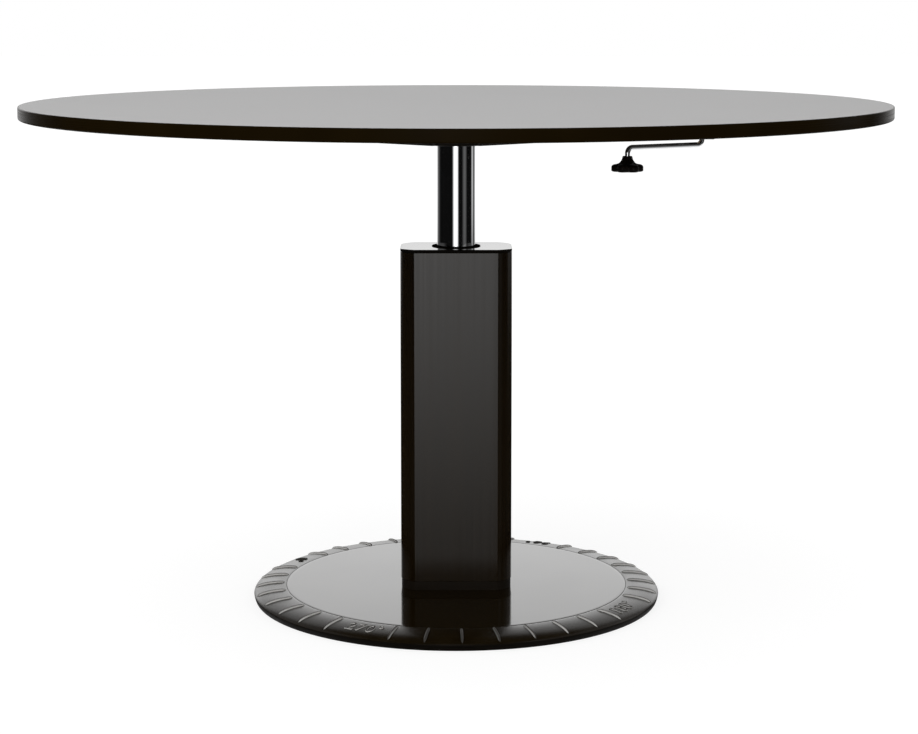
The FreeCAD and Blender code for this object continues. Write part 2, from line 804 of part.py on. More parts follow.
def shaft_bush(x0, x1, flange_x0):
    flange = rod_x(shaft_bush_flange_r, flange_x0, flange_x0 + shaft_bush_flange_t, shaft_z)
    body = rod_x(shaft_bush_r, x0, x1, shaft_z).fuse(flange).removeSplitter()
    bore = rod_x(shaft_r + running_clearance, x0 - hub_wall, x1 + hub_wall, shaft_z)
    return body.cut(bore)


def shaft_bushes():
    save("shaft_bush_inner", shaft_bush(hub_r - 3.5 * hub_wall, hub_r, hub_r))
    wall_x = crank_x - box_half
    save("shaft_bush_outer", shaft_bush(wall_x, wall_x + box_wall, wall_x - shaft_bush_flange_t))


# ================================================================ table top
insert_at = post_at + arm_screw_at + ear_at


def threaded_inserts():
    bore = m6_r + thread_engagement
    inserts = [tube(insert_r, bore, core_bottom, insert_top, p) for p in insert_at]
    save("threaded_inserts", Part.makeCompound(inserts))


def tabletop_core():
    core = disc(core_r, core_bottom, core_top)
    save("tabletop_core", core.cut(discs(insert_r, core_bottom - 1, insert_top + 1, insert_at)))


def laminates():
    backing = disc(core_r, top_under, core_bottom)
    holes = discs(m6_r + hole_clearance, top_under - 1, core_bottom + 1, insert_at)
    save("backing_laminate", backing.cut(holes))
    save("top_laminate", disc(core_r, core_top, top_height))


def edge_band():
    band = disc(top_r, top_under, top_height)
    band = band.makeFillet(band_round_top, circles_at(band, top_height))
    band = band.makeFillet(band_round_bottom, circles_at(band, top_under))
    save("edge_band", band.cut(disc(core_r, top_under - 1, top_height + 1)))


# ================================================================ mitre gears and shafts
def gear_tooth(mid, scale_in):
    """Straight tooth with flat flanks, its sections in the ratio of their distances to the apex."""
    k = 1 / math.sqrt(2)
    addendum = 0.8 * gear_module
    root = 1.4 * gear_module
    half_pitch = math.pi * gear_module / 4
    widths = [(-root, 1.15), (0.0, 0.80), (addendum, 0.38)]
    section = [(h, -w * half_pitch) for h, w in widths]
    section += [(h, w * half_pitch) for h, w in widths[::-1]]
    out = V(math.cos(mid), math.sin(mid), 0)
    side = V(-math.sin(mid), math.cos(mid), 0)
    big = [out * (pitch_r + h * k) + UP * (h * k - pitch_r) + side * w for h, w in section]
    small = [p * scale_in for p in big]
    faces = [polygon_face(big), polygon_face(small)]
    for j in range(len(big)):
        n = (j + 1) % len(big)
        faces.append(polygon_face([big[j], big[n], small[n], small[j]]))
    tooth = Part.Solid(Part.makeShell(faces))
    tooth.fix(TINY, TINY, TINY)
    return tooth


def mitre_gear(bore_r, phase):
    """Straight bevel gear about +Z, its apex at the origin and its teeth below it."""
    k = 1 / math.sqrt(2)
    scale_in = (pitch_r - gear_face * k) / pitch_r
    drop = 1.2 * gear_module * k
    root_r = pitch_r - drop
    root_z = -pitch_r - drop
    blank = [(bore_r, root_z), (root_r, root_z)]
    blank += [(root_r * scale_in, root_z * scale_in), (bore_r, root_z * scale_in)]
    body = revolved_rz(blank).fuse(tube(gear_hub_r, bore_r, -gear_back, root_z))
    step = 2 * math.pi / gear_teeth
    teeth = [gear_tooth((i + phase) * step, scale_in) for i in range(gear_teeth)]
    return body.multiFuse(teeth).cut(disc(bore_r, -2 * pitch_r, 0))


def placed(shape, turn_y, at):
    shape.rotate(V(0, 0, 0), V(0, 1, 0), turn_y)
    shape.translate(at)
    return shape


def mitre_gears():
    centre = V(0, 0, shaft_z)
    crank_centre = V(crank_x, 0, shaft_z)
    save("screw_bevel_gear", placed(mitre_gear(shaft_r, 0.0), 0.0, centre))
    save("shaft_bevel_gear_inner", placed(mitre_gear(shaft_r, 0.5), -90.0, centre))
    save("shaft_bevel_gear_outer", placed(mitre_gear(shaft_r, 0.5), 90.0, crank_centre))
    save("crank_bevel_gear", placed(mitre_gear(rod_r, 0.0), 0.0, crank_centre))


def lead_screw():
    shoulder = bearing_bottom - gear_gap
    screw = disc(screw_r, screw_bottom, shoulder)
    screw = screw.makeChamfer(0.15 * screw_r, circles_at(screw, screw_bottom))
    journal = disc(journal_r, shoulder, bearing_top)
    stub = disc(shaft_r, bearing_top, shaft_z - shaft_setback)
    save("lead_screw", fused(screw, [journal, stub]))


def retaining_places():
    inner = hub_r + shaft_bush_flange_t + gear_gap
    outer = crank_x - box_half - shaft_bush_flange_t - gear_gap - retaining_ring_t
    return [inner, outer]


def drive_shaft():
    shaft = rod_x(shaft_r, shaft_setback, crank_x - shaft_setback, shaft_z)
    for x in retaining_places():
        groove = rod_x(2 * shaft_r, x, x + retaining_ring_t, shaft_z)
        shaft = shaft.cut(groove.cut(rod_x(retaining_groove_r, x - 1, x + 3, shaft_z)))
    save("drive_shaft", shaft)


def shaft_retaining_rings():
    rings = []
    for x in retaining_places():
        ring = rod_x(retaining_ring_r, x, x + retaining_ring_t, shaft_z)
        rings.append(ring.cut(rod_x(retaining_groove_r, x - 1, x + 3, shaft_z)))
    save("shaft_retaining_rings", Part.makeCompound(rings))


# ================================================================ crank and knob
crank_turn = math.radians(crank_turn_deg)
crank_way = V(-math.cos(crank_turn), -math.sin(crank_turn), 0)
knob_at = crank_at + crank_way * crank_arm
rod_end = knob_bottom + 0.9 * knob_pocket_h


def quarter_bend(corner, way, first):
    """Arc between an upright run and a level one; first says that the upright run comes before."""
    b = rod_bend_r
    near = b * (1 - math.sqrt(0.5))
    if first:
        points = (corner + UP * b, corner + way * near + UP * near, corner + way * b)
    else:
        points = (corner - way * b, corner - way * near + DOWN * near, corner + DOWN * b)
    return points, Part.Arc(*points).toShape()


def crank_rod():
    start = V(crank_x, 0, shaft_z - shaft_setback)
    upper, bend_in = quarter_bend(crank_at + UP * crank_run_z, crank_way, True)
    lower, bend_out = quarter_bend(knob_at + UP * crank_run_z, crank_way, False)
    path = Part.Wire(
        [
            Part.makeLine(start, upper[0]),
            bend_in,
            Part.makeLine(upper[2], lower[0]),
            bend_out,
            Part.makeLine(lower[2], knob_at + UP * rod_end),
        ]
    )
    section = Part.Wire([Part.Circle(start, UP, rod_r).toShape()])
    save("crank_rod", path.makePipeShell([section], True, True))


def knob_retainer():
    washer = disc(retainer_r, rod_end - 0.35 * knob_pocket_h, rod_end, knob_at)
    head = disc(0.5 * retainer_r, rod_end - 0.6 * knob_pocket_h, rod_end - 0.35 * knob_pocket_h, knob_at)
    save("knob_retainer", washer.fuse(head).removeSplitter())


def crank_knob():
    """Star knob: a turned blank with flat-topped lobes and a hollow-sided neck, scalloped between the lobes."""
    h = knob_height
    z = knob_bottom
    r = knob_r
    edge = knob_edge_r
    low_corner = V(r - edge, 0, z + edge)
    rim_low = V(r, 0, z + edge)
    rim_top = V(r, 0, z + knob_rim * h)
    wing_out = V(0.84 * r, 0, z + 0.47 * h)
    wing_in = V(0.62 * r, 0, z + 0.5 * h)
    neck_low = V(knob_neck_r + 0.04 * r, 0, z + 0.78 * h)
    neck_top = V(knob_neck_r, 0, z + h)
    slant = edge * math.sqrt(0.5)
    corners = [V(0, 0, z), V(r - edge, 0, z), rim_low, rim_top, wing_out, wing_in, neck_low, neck_top, V(0, 0, z + h)]
    edges = [
        Part.makeLine(corners[0], corners[1]),
        Part.Arc(corners[1], low_corner + V(slant, 0, -slant), rim_low).toShape(),
        Part.makeLine(rim_low, rim_top),
        Part.Arc(rim_top, V(0.955 * r, 0, z + 0.415 * h), wing_out).toShape(),
        Part.makeLine(wing_out, wing_in),
        Part.Arc(wing_in, V(0.455 * r, 0, z + 0.605 * h), neck_low).toShape(),
        Part.makeLine(neck_low, neck_top),
        Part.makeLine(neck_top, corners[-1]),
        Part.makeLine(corners[-1], corners[0]),
    ]
    knob = revolved(Part.Face(Part.Wire(edges)))
    step = 360.0 / knob_lobes
    scallop_at = [polar(1.22 * r, i * step) for i in range(knob_lobes)]
    knob = knob.cut(discs(0.38 * r, z - 1, z + knob_lobe_top * h, scallop_at))
    knob = knob.cut(disc(rod_r + running_clearance, z - 1, z + h + 1))
    knob = knob.cut(disc(knob_pocket_r, z - 1, z + knob_pocket_h + gear_gap))
    knob.translate(knob_at)
    save("crank_knob", knob)


def knob_end_cap():
    low = knob_bottom - 0.17 * knob_pocket_h
    high = knob_bottom + 0.15 * knob_pocket_h
    save("knob_end_cap", disc(knob_pocket_r, low, high, knob_at))


# ================================================================ build
os.makedirs("parts", exist_ok=True)
base_plate()
base_ring()
ring_screws()
floor_glides()
column_foot_plate()
foot_screws()
column_shell()
column_cap_plate()
guide_housing()
guide_housing_screws()
guide_bush()
nut_pillar()
pillar_screws()
lead_nut()
nut_lock_pins()
lift_tube()
lower_guide_shoe()
shoe_screws()
gear_housing()
hub_set_screws()
gear_housing_cover()
gear_housing_screws()
screw_thrust_bearing()
arms()
arm_hub_screws()
arm_top_screws()
crank_gear_housing()
crank_housing_screws()
crank_bush()
shaft_bushes()
threaded_inserts()
tabletop_core()
laminates()
edge_band()
mitre_gears()
lead_screw()
drive_shaft()
shaft_retaining_rings()
crank_rod()
knob_retainer()
crank_knob()
knob_end_cap()
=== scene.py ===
"""Telescoping pedestal table: the finish of every part, and the parts that need a finer surface.

The frame holds the parts that carry and move the table, in metres, +Z up. A part keeps its place there.
Here each one gets its material. The parts that show, such as the top, the tube, the column, the base, the
crank and its knob, are made again as smooth surfaces, with the ring's raised scale as ribs and plain numbers.
"""
import json
import math

import bmesh
import bpy
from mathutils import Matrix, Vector


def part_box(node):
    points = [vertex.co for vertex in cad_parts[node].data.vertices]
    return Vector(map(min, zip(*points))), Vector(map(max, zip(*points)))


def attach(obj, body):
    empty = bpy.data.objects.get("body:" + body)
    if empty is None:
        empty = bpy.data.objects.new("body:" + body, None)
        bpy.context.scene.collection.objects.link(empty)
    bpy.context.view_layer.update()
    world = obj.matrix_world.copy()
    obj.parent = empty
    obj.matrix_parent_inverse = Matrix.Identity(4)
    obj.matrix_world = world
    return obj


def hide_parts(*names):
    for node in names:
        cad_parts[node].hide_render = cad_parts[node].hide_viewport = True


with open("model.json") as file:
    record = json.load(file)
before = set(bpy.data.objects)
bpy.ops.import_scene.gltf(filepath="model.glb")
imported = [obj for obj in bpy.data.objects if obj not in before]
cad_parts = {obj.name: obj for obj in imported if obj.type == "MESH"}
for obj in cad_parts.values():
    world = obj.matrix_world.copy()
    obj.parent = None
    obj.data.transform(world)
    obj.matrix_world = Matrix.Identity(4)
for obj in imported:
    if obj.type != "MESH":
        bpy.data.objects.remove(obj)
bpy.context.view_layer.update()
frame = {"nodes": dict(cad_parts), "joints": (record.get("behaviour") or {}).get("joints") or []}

MM = 0.001
TAU = 2 * math.pi
MERGE_REACH = 0.001 * MM
FACET_REACH = 0.002 * MM

# ================================================================ sizes, from the frame (metres)
plate_low, plate_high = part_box("base_plate")
ring_low, ring_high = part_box("base_ring")
shell_low, shell_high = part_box("column_shell")
cap_low, cap_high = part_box("column_cap_plate")
bush_low, bush_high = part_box("guide_bush")
tube_low, tube_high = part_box("lift_tube")
face_low, face_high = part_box("top_laminate")
band_low, band_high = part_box("edge_band")
rod_low, rod_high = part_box("crank_rod")
knob_low, knob_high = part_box("crank_knob")
joint_place = {j["name"]: Vector(j["pos_m"]) for j in frame["joints"] if "pos_m" in j}

# ---- base ring: its crown is a quarter ellipse from the waist up to the seam at the plate
SEAM = plate_high.x + 0.5 * MM
WAIST = ring_high.x
WAIST_Z = plate_low.z
RING_LIFT = ring_low.z
CROWN = 11.8 * MM
CROWN_CENTRE = SEAM - 1 * MM
CROWN_REACH = WAIST - CROWN_CENTRE
FOOT_IN = 2.6 * MM
SKIRT_BULGE = 0.4 * MM
SKIRT_LOW = 0.4 * MM
LIP_EDGE = 0.4 * MM
LIP_WIDTH = 3.0 * MM
LIP_FALL = 0.6 * MM
LEDGE_R = SEAM - 15 * MM
RIB_COUNT = 36
RIB_FIRST = 1.6
RIB_STEP = 360.0 / RIB_COUNT
RIBS_PER_NUMBER = 9
RIBS_TO_NUMBER = 3
NUMBERS = (("270°", 1.2), ("180°", -2.0), ("90°", 0.0), ("0°", 0.0))
NUMBER_THICK = 0.75 * MM
NUMBER_BEVEL = 0.35 * MM
NUMBER_FIRST = RIB_FIRST - RIBS_TO_NUMBER * RIB_STEP

# ---- column
COLUMN_SIDE = shell_high.x
COLUMN_SIDE_HALF = 26 * MM
COLUMN_CORNER = 33.4 * MM
COLUMN_FRONT = shell_high.y
COLUMN_WALL = 3 * MM
CREASE_ROUND = 2.2 * MM
FLANGE_REACH = 5 * MM

# ---- fixings
GLIDE_IN = 3 * MM
RING_SCREW_IN = 8 * MM
HEAD_HEIGHT = 1.6  # of the shank's radius


# ================================================================ node trees
class Socket:
    """An output of a node, with the arithmetic that its tree needs."""

    def __init__(self, tree, output):
        self.tree = tree
        self.output = output

    def _math(self, operation, *values):
        return self.tree.add("ShaderNodeMath", {"operation": operation}, dict(enumerate(values)))

    def __add__(self, other):
        return self._math("ADD", self, other)

    def __sub__(self, other):
        return self._math("SUBTRACT", self, other)

    def __rsub__(self, other):
        return self._math("SUBTRACT", other, self)

    def __mul__(self, other):
        return self._math("MULTIPLY", self, other)

    def __truediv__(self, other):
        return self._math("DIVIDE", self, other)

    def __rtruediv__(self, other):
        return self._math("DIVIDE", other, self)

    def __pow__(self, other):
        return self._math("POWER", self, other)

    def __rpow__(self, other):
        return self._math("POWER", other, self)

    def __mod__(self, other):
        return self._math("FLOORED_MODULO", self, other)

    def __rmod__(self, other):
        return self._math("FLOORED_MODULO", other, self)

    def __abs__(self):
        return self._math("ABSOLUTE", self)

    def __gt__(self, other):
        return self._math("GREATER_THAN", self, other)

    def __lt__(self, other):
        return self._math("LESS_THAN", self, other)

    __radd__ = __add__
    __rmul__ = __mul__

    def root(self):
        return self._math("SQRT", self)

    def most(self, other):
        return self._math("MAXIMUM", self, other)

    def step(self, low, high, out_low=0.0, out_high=1.0):
        """Smooth passage from out_low to out_high as the value goes from low to high."""
        return self._ranged("SMOOTHSTEP", low, high, out_low, out_high)

    def line(self, low, high, out_low=0.0, out_high=1.0):
        """Straight passage from out_low to out_high, level outside it."""
        return self._ranged("LINEAR", low, high, out_low, out_high)

    def _ranged(self, kind, low, high, out_low, out_high):
        values = {"Value": self, "From Min": low, "From Max": high, "To Min": out_low, "To Max": out_high}
        return self.tree.add("ShaderNodeMapRange", {"interpolation_type": kind}, values)


class Tree:
    """A node tree that is filled by calls."""

    def __init__(self, tree):
        self.tree = tree

    def add(self, kind, settings=None, values=None, out=0):
        """Adds a node with its settings and then its inputs, and returns one of its outputs if it has any."""
        node = self.tree.nodes.new(kind)
        for name, setting in (settings or {}).items():
            setattr(node, name, setting)
        self.fill(node, values or {})
        return Socket(self, node.outputs[out]) if node.outputs else None

    def fill(self, node, values):
        for name, value in values.items():
            if isinstance(value, Socket):
                self.tree.links.new(value.output, node.inputs[name])
            else:
                node.inputs[name].default_value = value

    def xyz(self, x=0.0, y=0.0, z=0.0):
        return self.add("ShaderNodeCombineXYZ", None, {0: x, 1: y, 2: z})

    def outputs(self, socket):
        """All the outputs of the node that a socket comes from."""
        return [Socket(self, o) for o in socket.output.node.outputs]

    def parts(self, vector):
        return self.outputs(self.add("ShaderNodeSeparateXYZ", None, {0: vector}))

    def noise(self, where, scale, detail=3.0, roughness=0.5):
        values = {"Vector": where, "Scale": scale, "Detail": detail, "Roughness": roughness}
        return self.add("ShaderNodeTexNoise", None, values)

    def stretched(self, where, scale):
        return self.add("ShaderNodeMapping", None, {"Vector": where, "Scale": scale})

    def blend(self, factor, first, second):
        """Colour between two colours. A mix node has its colours at inputs 6 and 7 and at output 2."""
        first, second = (c if isinstance(c, Socket) else (*c, 1.0) for c in (first, second))
        return self.add("ShaderNodeMix", {"data_type": "RGBA"}, {0: factor, 6: first, 7: second}, 2)

    def bump(self, height, strength, distance):
        values = {"Height": height, "Strength": strength, "Distance": distance}
        return self.add("ShaderNodeBump", None, values)


def surface(name, colour, roughness, metallic=0.0, shine=0.5, varies=None):
    """A Principled material; varies(tree, where) returns the sockets that change over the surface."""
    material = bpy.data.materials.new(name)
    material.use_nodes = True
    tree = Tree(material.node_tree)
    shader = material.node_tree.nodes["Principled BSDF"]
    settings = {
        "Base Color": (*colour, 1.0),
        "Roughness": roughness,
        "Metallic": metallic,
        "Specular IOR Level": shine,
    }
    tree.fill(shader, settings)
    material.diffuse_color = (*colour, 1.0)
    if varies:
        where = tree.add("ShaderNodeTexCoord", out="Object")
        tree.fill(shader, varies(tree, where))
    return material


def shade(colour, factor):
    return tuple(c * factor for c in colour)


# ================================================================ finishes
WARM_BLACK = (0.0085, 0.0050, 0.0010)
# Darker black for the faces of the cap and ring that don't look up: painted shade.
PAINTED_SHADE_BLACK = (0.0050, 0.0035, 0.0020)
COAT_BLACK = (0.010, 0.007, 0.004)
# Pale grey painted on the ribs and numbers of the scale as a highlight: it stands in for light on their sides
# towards the front.
PAINTED_HIGHLIGHT_GREY = (0.7, 0.69, 0.67)


def grey_laminate():
    """Fine-grained satin laminate: a pale and a dark fleck in the grey, and a soft micro texture."""
    grey = (0.432, 0.429, 0.429)

    def varies(tree, where):
        fleck = tree.noise(where, 900.0, 2.0)
        cloud = tree.noise(where, 5.0, 2.0)
        mix = fleck.line(0.35, 0.65) * 0.7 + cloud.line(0.3, 0.7) * 0.3
        grain = tree.noise(where, 1600.0, 1.0)
        return {
            "Base Color": tree.blend(mix, shade(grey, 0.95), shade(grey, 1.05)),
            "Roughness": cloud.line(0.3, 0.7, 0.55, 0.6),
            "Normal": tree.bump(grain, 0.12, 0.04 * MM),
        }

    return surface("grey_laminate", grey, 0.58, shine=0.2, varies=varies)


def backing_black():
    """Plain black balancing laminate under the board."""
    black = (0.012, 0.009, 0.006)

    def varies(tree, where):
        grain = tree.noise(where, 700.0, 2.0)
        cloud = tree.noise(where, 8.0, 3.0)
        return {
            "Base Color": tree.blend(cloud.line(0.3, 0.7), shade(black, 0.85), shade(black, 1.25)),
            "Roughness": cloud.line(0.3, 0.7, 0.5, 0.6),
            "Normal": tree.bump(grain, 0.2, 0.05 * MM),
        }

    return surface("backing_black", black, 0.55, varies=varies)


def edge_black():
    """Smooth plastic edge band, polished after routing, with faint lines along the edge."""
    black = WARM_BLACK

    def varies(tree, where):
        lines = tree.noise(tree.stretched(where, (3.0, 3.0, 900.0)), 1.0, 2.0)
        cloud = tree.noise(where, 12.0, 2.0)
        return {
            "Base Color": tree.blend(cloud.line(0.3, 0.7), shade(black, 0.9), shade(black, 1.15)),
            "Roughness": lines.line(0.3, 0.7, 0.2, 0.3),
            "Normal": tree.bump(lines, 0.06, 0.03 * MM),
        }

    return surface("edge_black", black, 0.25, shine=0.02, varies=varies)


def gloss_coat(name, black, roughness, peel):
    """Black stoved coat over steel: deep gloss with a little orange peel and a breath of dust."""

    def varies(tree, where):
        wave = tree.noise(where, 70.0, 1.0)
        dust = tree.noise(where, 1300.0, 1.0)
        haze = tree.noise(where, 9.0, 3.0)
        return {
            "Base Color": tree.blend(dust.line(0.62, 0.8), black, shade(black, 2.2)),
            "Roughness": haze.line(0.3, 0.7, roughness * 0.8, roughness * 1.25),
            "Normal": tree.bump(wave, peel, 0.05 * MM),
        }

    return surface(name, black, roughness, varies=varies)


def cast_black(name, black, roughness, grain_depth, shine=0.5, painted_highlight=None):
    """Black coat over a casting: fine grain, softly uneven gloss, and a pale painted highlight where the
    crest mark asks for it.
    """

    def varies(tree, where):
        grain = tree.noise(where, 900.0, 2.0)
        swell = tree.noise(where, 110.0, 2.0)
        haze = tree.noise(where, 22.0, 3.0)
        height = grain * 0.6 + swell * 0.4
        coat = tree.blend(haze.line(0.3, 0.7), shade(black, 0.85), shade(black, 1.25))
        # Painted highlight: where the crest mark is high, the coat turns towards a pale grey that stands in
        # for light on the front sides.
        if painted_highlight:
            crest = tree.add("ShaderNodeAttribute", {"attribute_name": "crest"}, out="Fac")
            coat = tree.blend(crest * haze.line(0.2, 0.6, 0.8, 1.0), coat, painted_highlight)
        return {
            "Base Color": coat,
            "Roughness": haze.line(0.25, 0.75, roughness * 0.85, roughness * 1.15),
            "Normal": tree.bump(height, grain_depth, 0.12 * MM),
        }

    return surface(name, black, roughness, shine=shine, varies=varies)


def anodised_black():
    """Satin anodised extrusion: fine die lines run up the column."""
    black = (0.0092, 0.0050, 0.0009)

    def varies(tree, where):
        lines = tree.noise(tree.stretched(where, (620.0, 620.0, 2.2)), 1.0, 3.0, 0.6)
        broad = tree.noise(tree.stretched(where, (60.0, 60.0, 1.2)), 1.0, 2.0)
        speck = tree.noise(where, 1500.0, 1.0)
        mix = lines.line(0.3, 0.7) * 0.6 + broad.line(0.3, 0.7) * 0.4
        return {
            "Base Color": tree.blend(mix, shade(black, 0.75), shade(black, 1.35)),
            "Roughness": lines.line(0.3, 0.7, 0.16, 0.22) + speck.line(0.6, 0.8, 0.0, 0.03),
            "Normal": tree.bump(lines * 0.8 + speck * 0.2, 0.1, 0.03 * MM),
        }

    return surface("anodised_black", black, 0.2, varies=varies)


def chrome():
    """Polished chrome plate with the faintest haze."""
    bright = (0.84, 0.845, 0.855)

    def varies(tree, where):
        haze = tree.noise(tree.stretched(where, (30.0, 30.0, 9.0)), 1.0, 3.0)
        return {
            "Base Color": tree.blend(haze.line(0.3, 0.7), shade(bright, 0.97), shade(bright, 1.02)),
            "Roughness": haze.line(0.3, 0.75, 0.035, 0.075),
        }

    return surface("chrome", bright, 0.05, 1.0, varies=varies)


def metal(name, colour, roughness, lines=(240.0, 240.0, 240.0), depth=0.1):
    """Bare metal with tool marks along one way and a slightly cloudy tone."""

    def varies(tree, where):
        marks = tree.noise(tree.stretched(where, lines), 1.0, 3.0, 0.6)
        cloud = tree.noise(where, 45.0, 3.0)
        return {
            "Base Color": tree.blend(cloud.line(0.3, 0.7), shade(colour, 0.86), shade(colour, 1.05)),
            "Roughness": marks.line(0.3, 0.7, roughness * 0.8, roughness * 1.25),
            "Normal": tree.bump(marks, depth, 0.04 * MM),
        }

    return surface(name, colour, roughness, 1.0, varies=varies)


def moulded(name, colour, roughness, shine=0.5):
    """Moulded plastic with a fine even grain."""

    def varies(tree, where):
        grain = tree.noise(where, 1100.0, 2.0)
        cloud = tree.noise(where, 30.0, 2.0)
        return {
            "Base Color": tree.blend(cloud.line(0.3, 0.7), shade(colour, 0.92), shade(colour, 1.1)),
            "Roughness": cloud.line(0.3, 0.7, roughness * 0.9, roughness * 1.12),
            "Normal": tree.bump(grain, 0.12, 0.05 * MM),
        }

    return surface(name, colour, roughness, shine=shine, varies=varies)


def pressed_board():
    """Core of pressed chips, seen only where a part is taken off."""
    pale = (0.50, 0.37, 0.23)

    def varies(tree, where):
        chips = tree.add("ShaderNodeTexVoronoi", None, {"Vector": where, "Scale": 260.0})
        fibres = tree.noise(where, 900.0, 2.0)
        mix = chips.line(0.0, 0.9) * 0.7 + fibres * 0.3
        return {
            "Base Color": tree.blend(mix, shade(pale, 1.15), shade(pale, 0.6)),
            "Roughness": fibres.line(0.3, 0.7, 0.75, 0.9),
            "Normal": tree.bump(chips, 0.4, 0.3 * MM),
        }

    return surface("pressed_board", pale, 0.8, varies=varies)


GREY_TOP = grey_laminate()
BACKING = backing_black()
EDGE = edge_black()
PLATE = gloss_coat("gloss_black", WARM_BLACK, 0.09, 0.03)
CAP = gloss_coat("cap_black", WARM_BLACK, 0.05, 0.03)
# Darker, duller black for the sides of the cap: painted shade.
CAP_SIDE_SHADE = moulded("cap_side_black", PAINTED_SHADE_BLACK, 0.6, shine=0.05)
RING = cast_black("ring_black", WARM_BLACK, 0.24, 0.14)
# Darker, duller black for the ring's skirt: painted shade, as if it faced the shaded floor.
RING_SIDE_SHADE = cast_black("ring_side_black", PAINTED_SHADE_BLACK, 0.55, 0.14, 0.08)
# The scale's ribs and numbers get a pale painted highlight on their steep sides towards the front.
SCALE = cast_black("scale_black", WARM_BLACK, 0.5, 0.1, 0.12, PAINTED_HIGHLIGHT_GREY)
HOUSING = cast_black("housing_black", COAT_BLACK, 0.5, 0.3, 0.15)
STEEL_BLACK = cast_black("steel_black", COAT_BLACK, 0.45, 0.12, 0.15)
COLUMN = anodised_black()
CHROME = chrome()
KNOB = moulded("knob_black", (0.0065, 0.0035, 0.0015), 0.42, shine=0.2)
BUSH = moulded("bush_black", (0.008, 0.006, 0.004), 0.7, shine=0.0)
SHOE = moulded("shoe_pale", (0.68, 0.67, 0.63), 0.45)
GLIDE = moulded("glide_dark", (0.05, 0.05, 0.05), 0.5)
STEEL = metal("turned_steel", (0.58, 0.58, 0.59), 0.3, (60.0, 60.0, 900.0))
ALLOY = metal("cast_alloy", (0.62, 0.625, 0.63), 0.45, depth=0.3)
ZINC = metal("zinc_plate", (0.60, 0.61, 0.63), 0.32)
BRONZE = metal("bearing_bronze", (0.32, 0.245, 0.165), 0.4)
BRASS = metal("insert_brass", (0.70, 0.52, 0.24), 0.3)
BOARD = pressed_board()


# ================================================================ meshes
def linked(name, data):
    """An object with its data, in the scene at the origin."""
    obj = bpy.data.objects.new(name, data)
    bpy.context.scene.collection.objects.link(obj)
    return obj


def piece(name, mesh, material, sharp=35.0):
    """An object of a mesh and a material, smooth but for its edges sharper than an angle."""
    obj = linked(name, mesh)
    mesh.materials.clear()
    mesh.materials.append(material)
    mesh.shade_smooth()
    mesh.set_sharp_from_angle(angle=math.radians(sharp))
    return obj


def merged(mesh, reach=MERGE_REACH, turn_out=True):
    """Merges the points that lie within a reach of each other, and turns the faces outwards."""
    bm = bmesh.new()
    bm.from_mesh(mesh)
    bmesh.ops.remove_doubles(bm, verts=bm.verts, dist=reach)
    if turn_out:
        bmesh.ops.recalc_face_normals(bm, faces=bm.faces)
    bm.to_mesh(mesh)
    bm.free()
    return mesh


def mesh_from(name, points, faces):
    """Mesh with merged points and outward faces."""
    mesh = bpy.data.meshes.new(name)
    mesh.from_pydata([tuple(p) for p in points], [], faces)
    return merged(mesh)


def skin(name, rows, ends):
    """Faces between rows of as many points; ends is "loop" when the last row meets the first, or "cap"."""
    count = len(rows[0])
    points = [p for row in rows for p in row]
    faces = []
    last = len(rows) if ends == "loop" else len(rows) - 1
    for i in range(last):
        a = i * count
        b = (i + 1) % len(rows) * count
        for j in range(count):
            k = (j + 1) % count
            faces.append((a + j, a + k, b + k, b + j))
    if ends == "cap":
        faces.append(tuple(range(count)))
        faces.append(tuple(range(last * count, (last + 1) * count)))
    return mesh_from(name, points, faces)


def lathe(name, profile, turns, ends="loop"):
    """Turns an (r, z) outline about the Z axis."""
    angles = [TAU * i / turns for i in range(turns)]
    rows = []
    for r, z in profile:
        rows.append([Vector((r * math.cos(a), r * math.sin(a), z)) for a in angles])
    return skin(name, rows, ends)


def arc(centre, radius, start, end, steps):
    """Points of an (r, z) arc, its angles in degrees from outwards to upwards."""
    points = []
    for i in range(steps + 1):
        a = math.radians(start + (end - start) * i / steps)
        points.append((centre[0] + radius * math.cos(a), centre[1] + radius * math.sin(a)))
    return points


def front(r, deg, z=0.0):
    """Point at radius r, the angle measured from the front towards +X."""
    a = math.radians(deg)
    return Vector((r * math.sin(a), -r * math.cos(a), z))


def smooth_copy(node, material, body):
    """A part as the frame has it, its facets merged so that round faces look round."""
    mesh = merged(frame["nodes"][node].data.copy(), FACET_REACH, False)
    return stand_in(piece(node + "_smooth", mesh, material, 30.0), body, node)


def shade_painted_sides(obj, side, level):
    """Gives the faces that don't look up a darker, duller copy of the black, as painted shade; level is the
    least height of their normal.
    """
    obj.data.materials.append(side)
    for face in obj.data.polygons:
        face.material_index = 0 if face.normal.z > level else 1
    return obj


def stand_in(obj, body, *nodes):
    """A piece made here stands for parts of the frame and moves with their body."""
    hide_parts(*nodes)
    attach(obj, body)
    return obj


def grown(name, tree, sizes, places, material, sharp=35.0):
    """Runs a geometry tree on a few points and keeps the result as a plain mesh."""
    seeds = bpy.data.meshes.new(name)
    seeds.from_pydata([tuple(p) for p in places], [], [])
    obj = linked(name, seeds)
    modifier = obj.modifiers.new("grown", "NODES")
    modifier.node_group = tree
    for item in tree.interface.items_tree:
        if item.in_out == "INPUT" and item.name in sizes:
            modifier[item.identifier] = sizes[item.name]
    bpy.context.view_layer.update()
    depsgraph = bpy.context.evaluated_depsgraph_get()
    mesh = bpy.data.meshes.new_from_object(obj.evaluated_get(depsgraph))
    bpy.data.objects.remove(obj)
    return piece(name, merged(mesh), material, sharp)


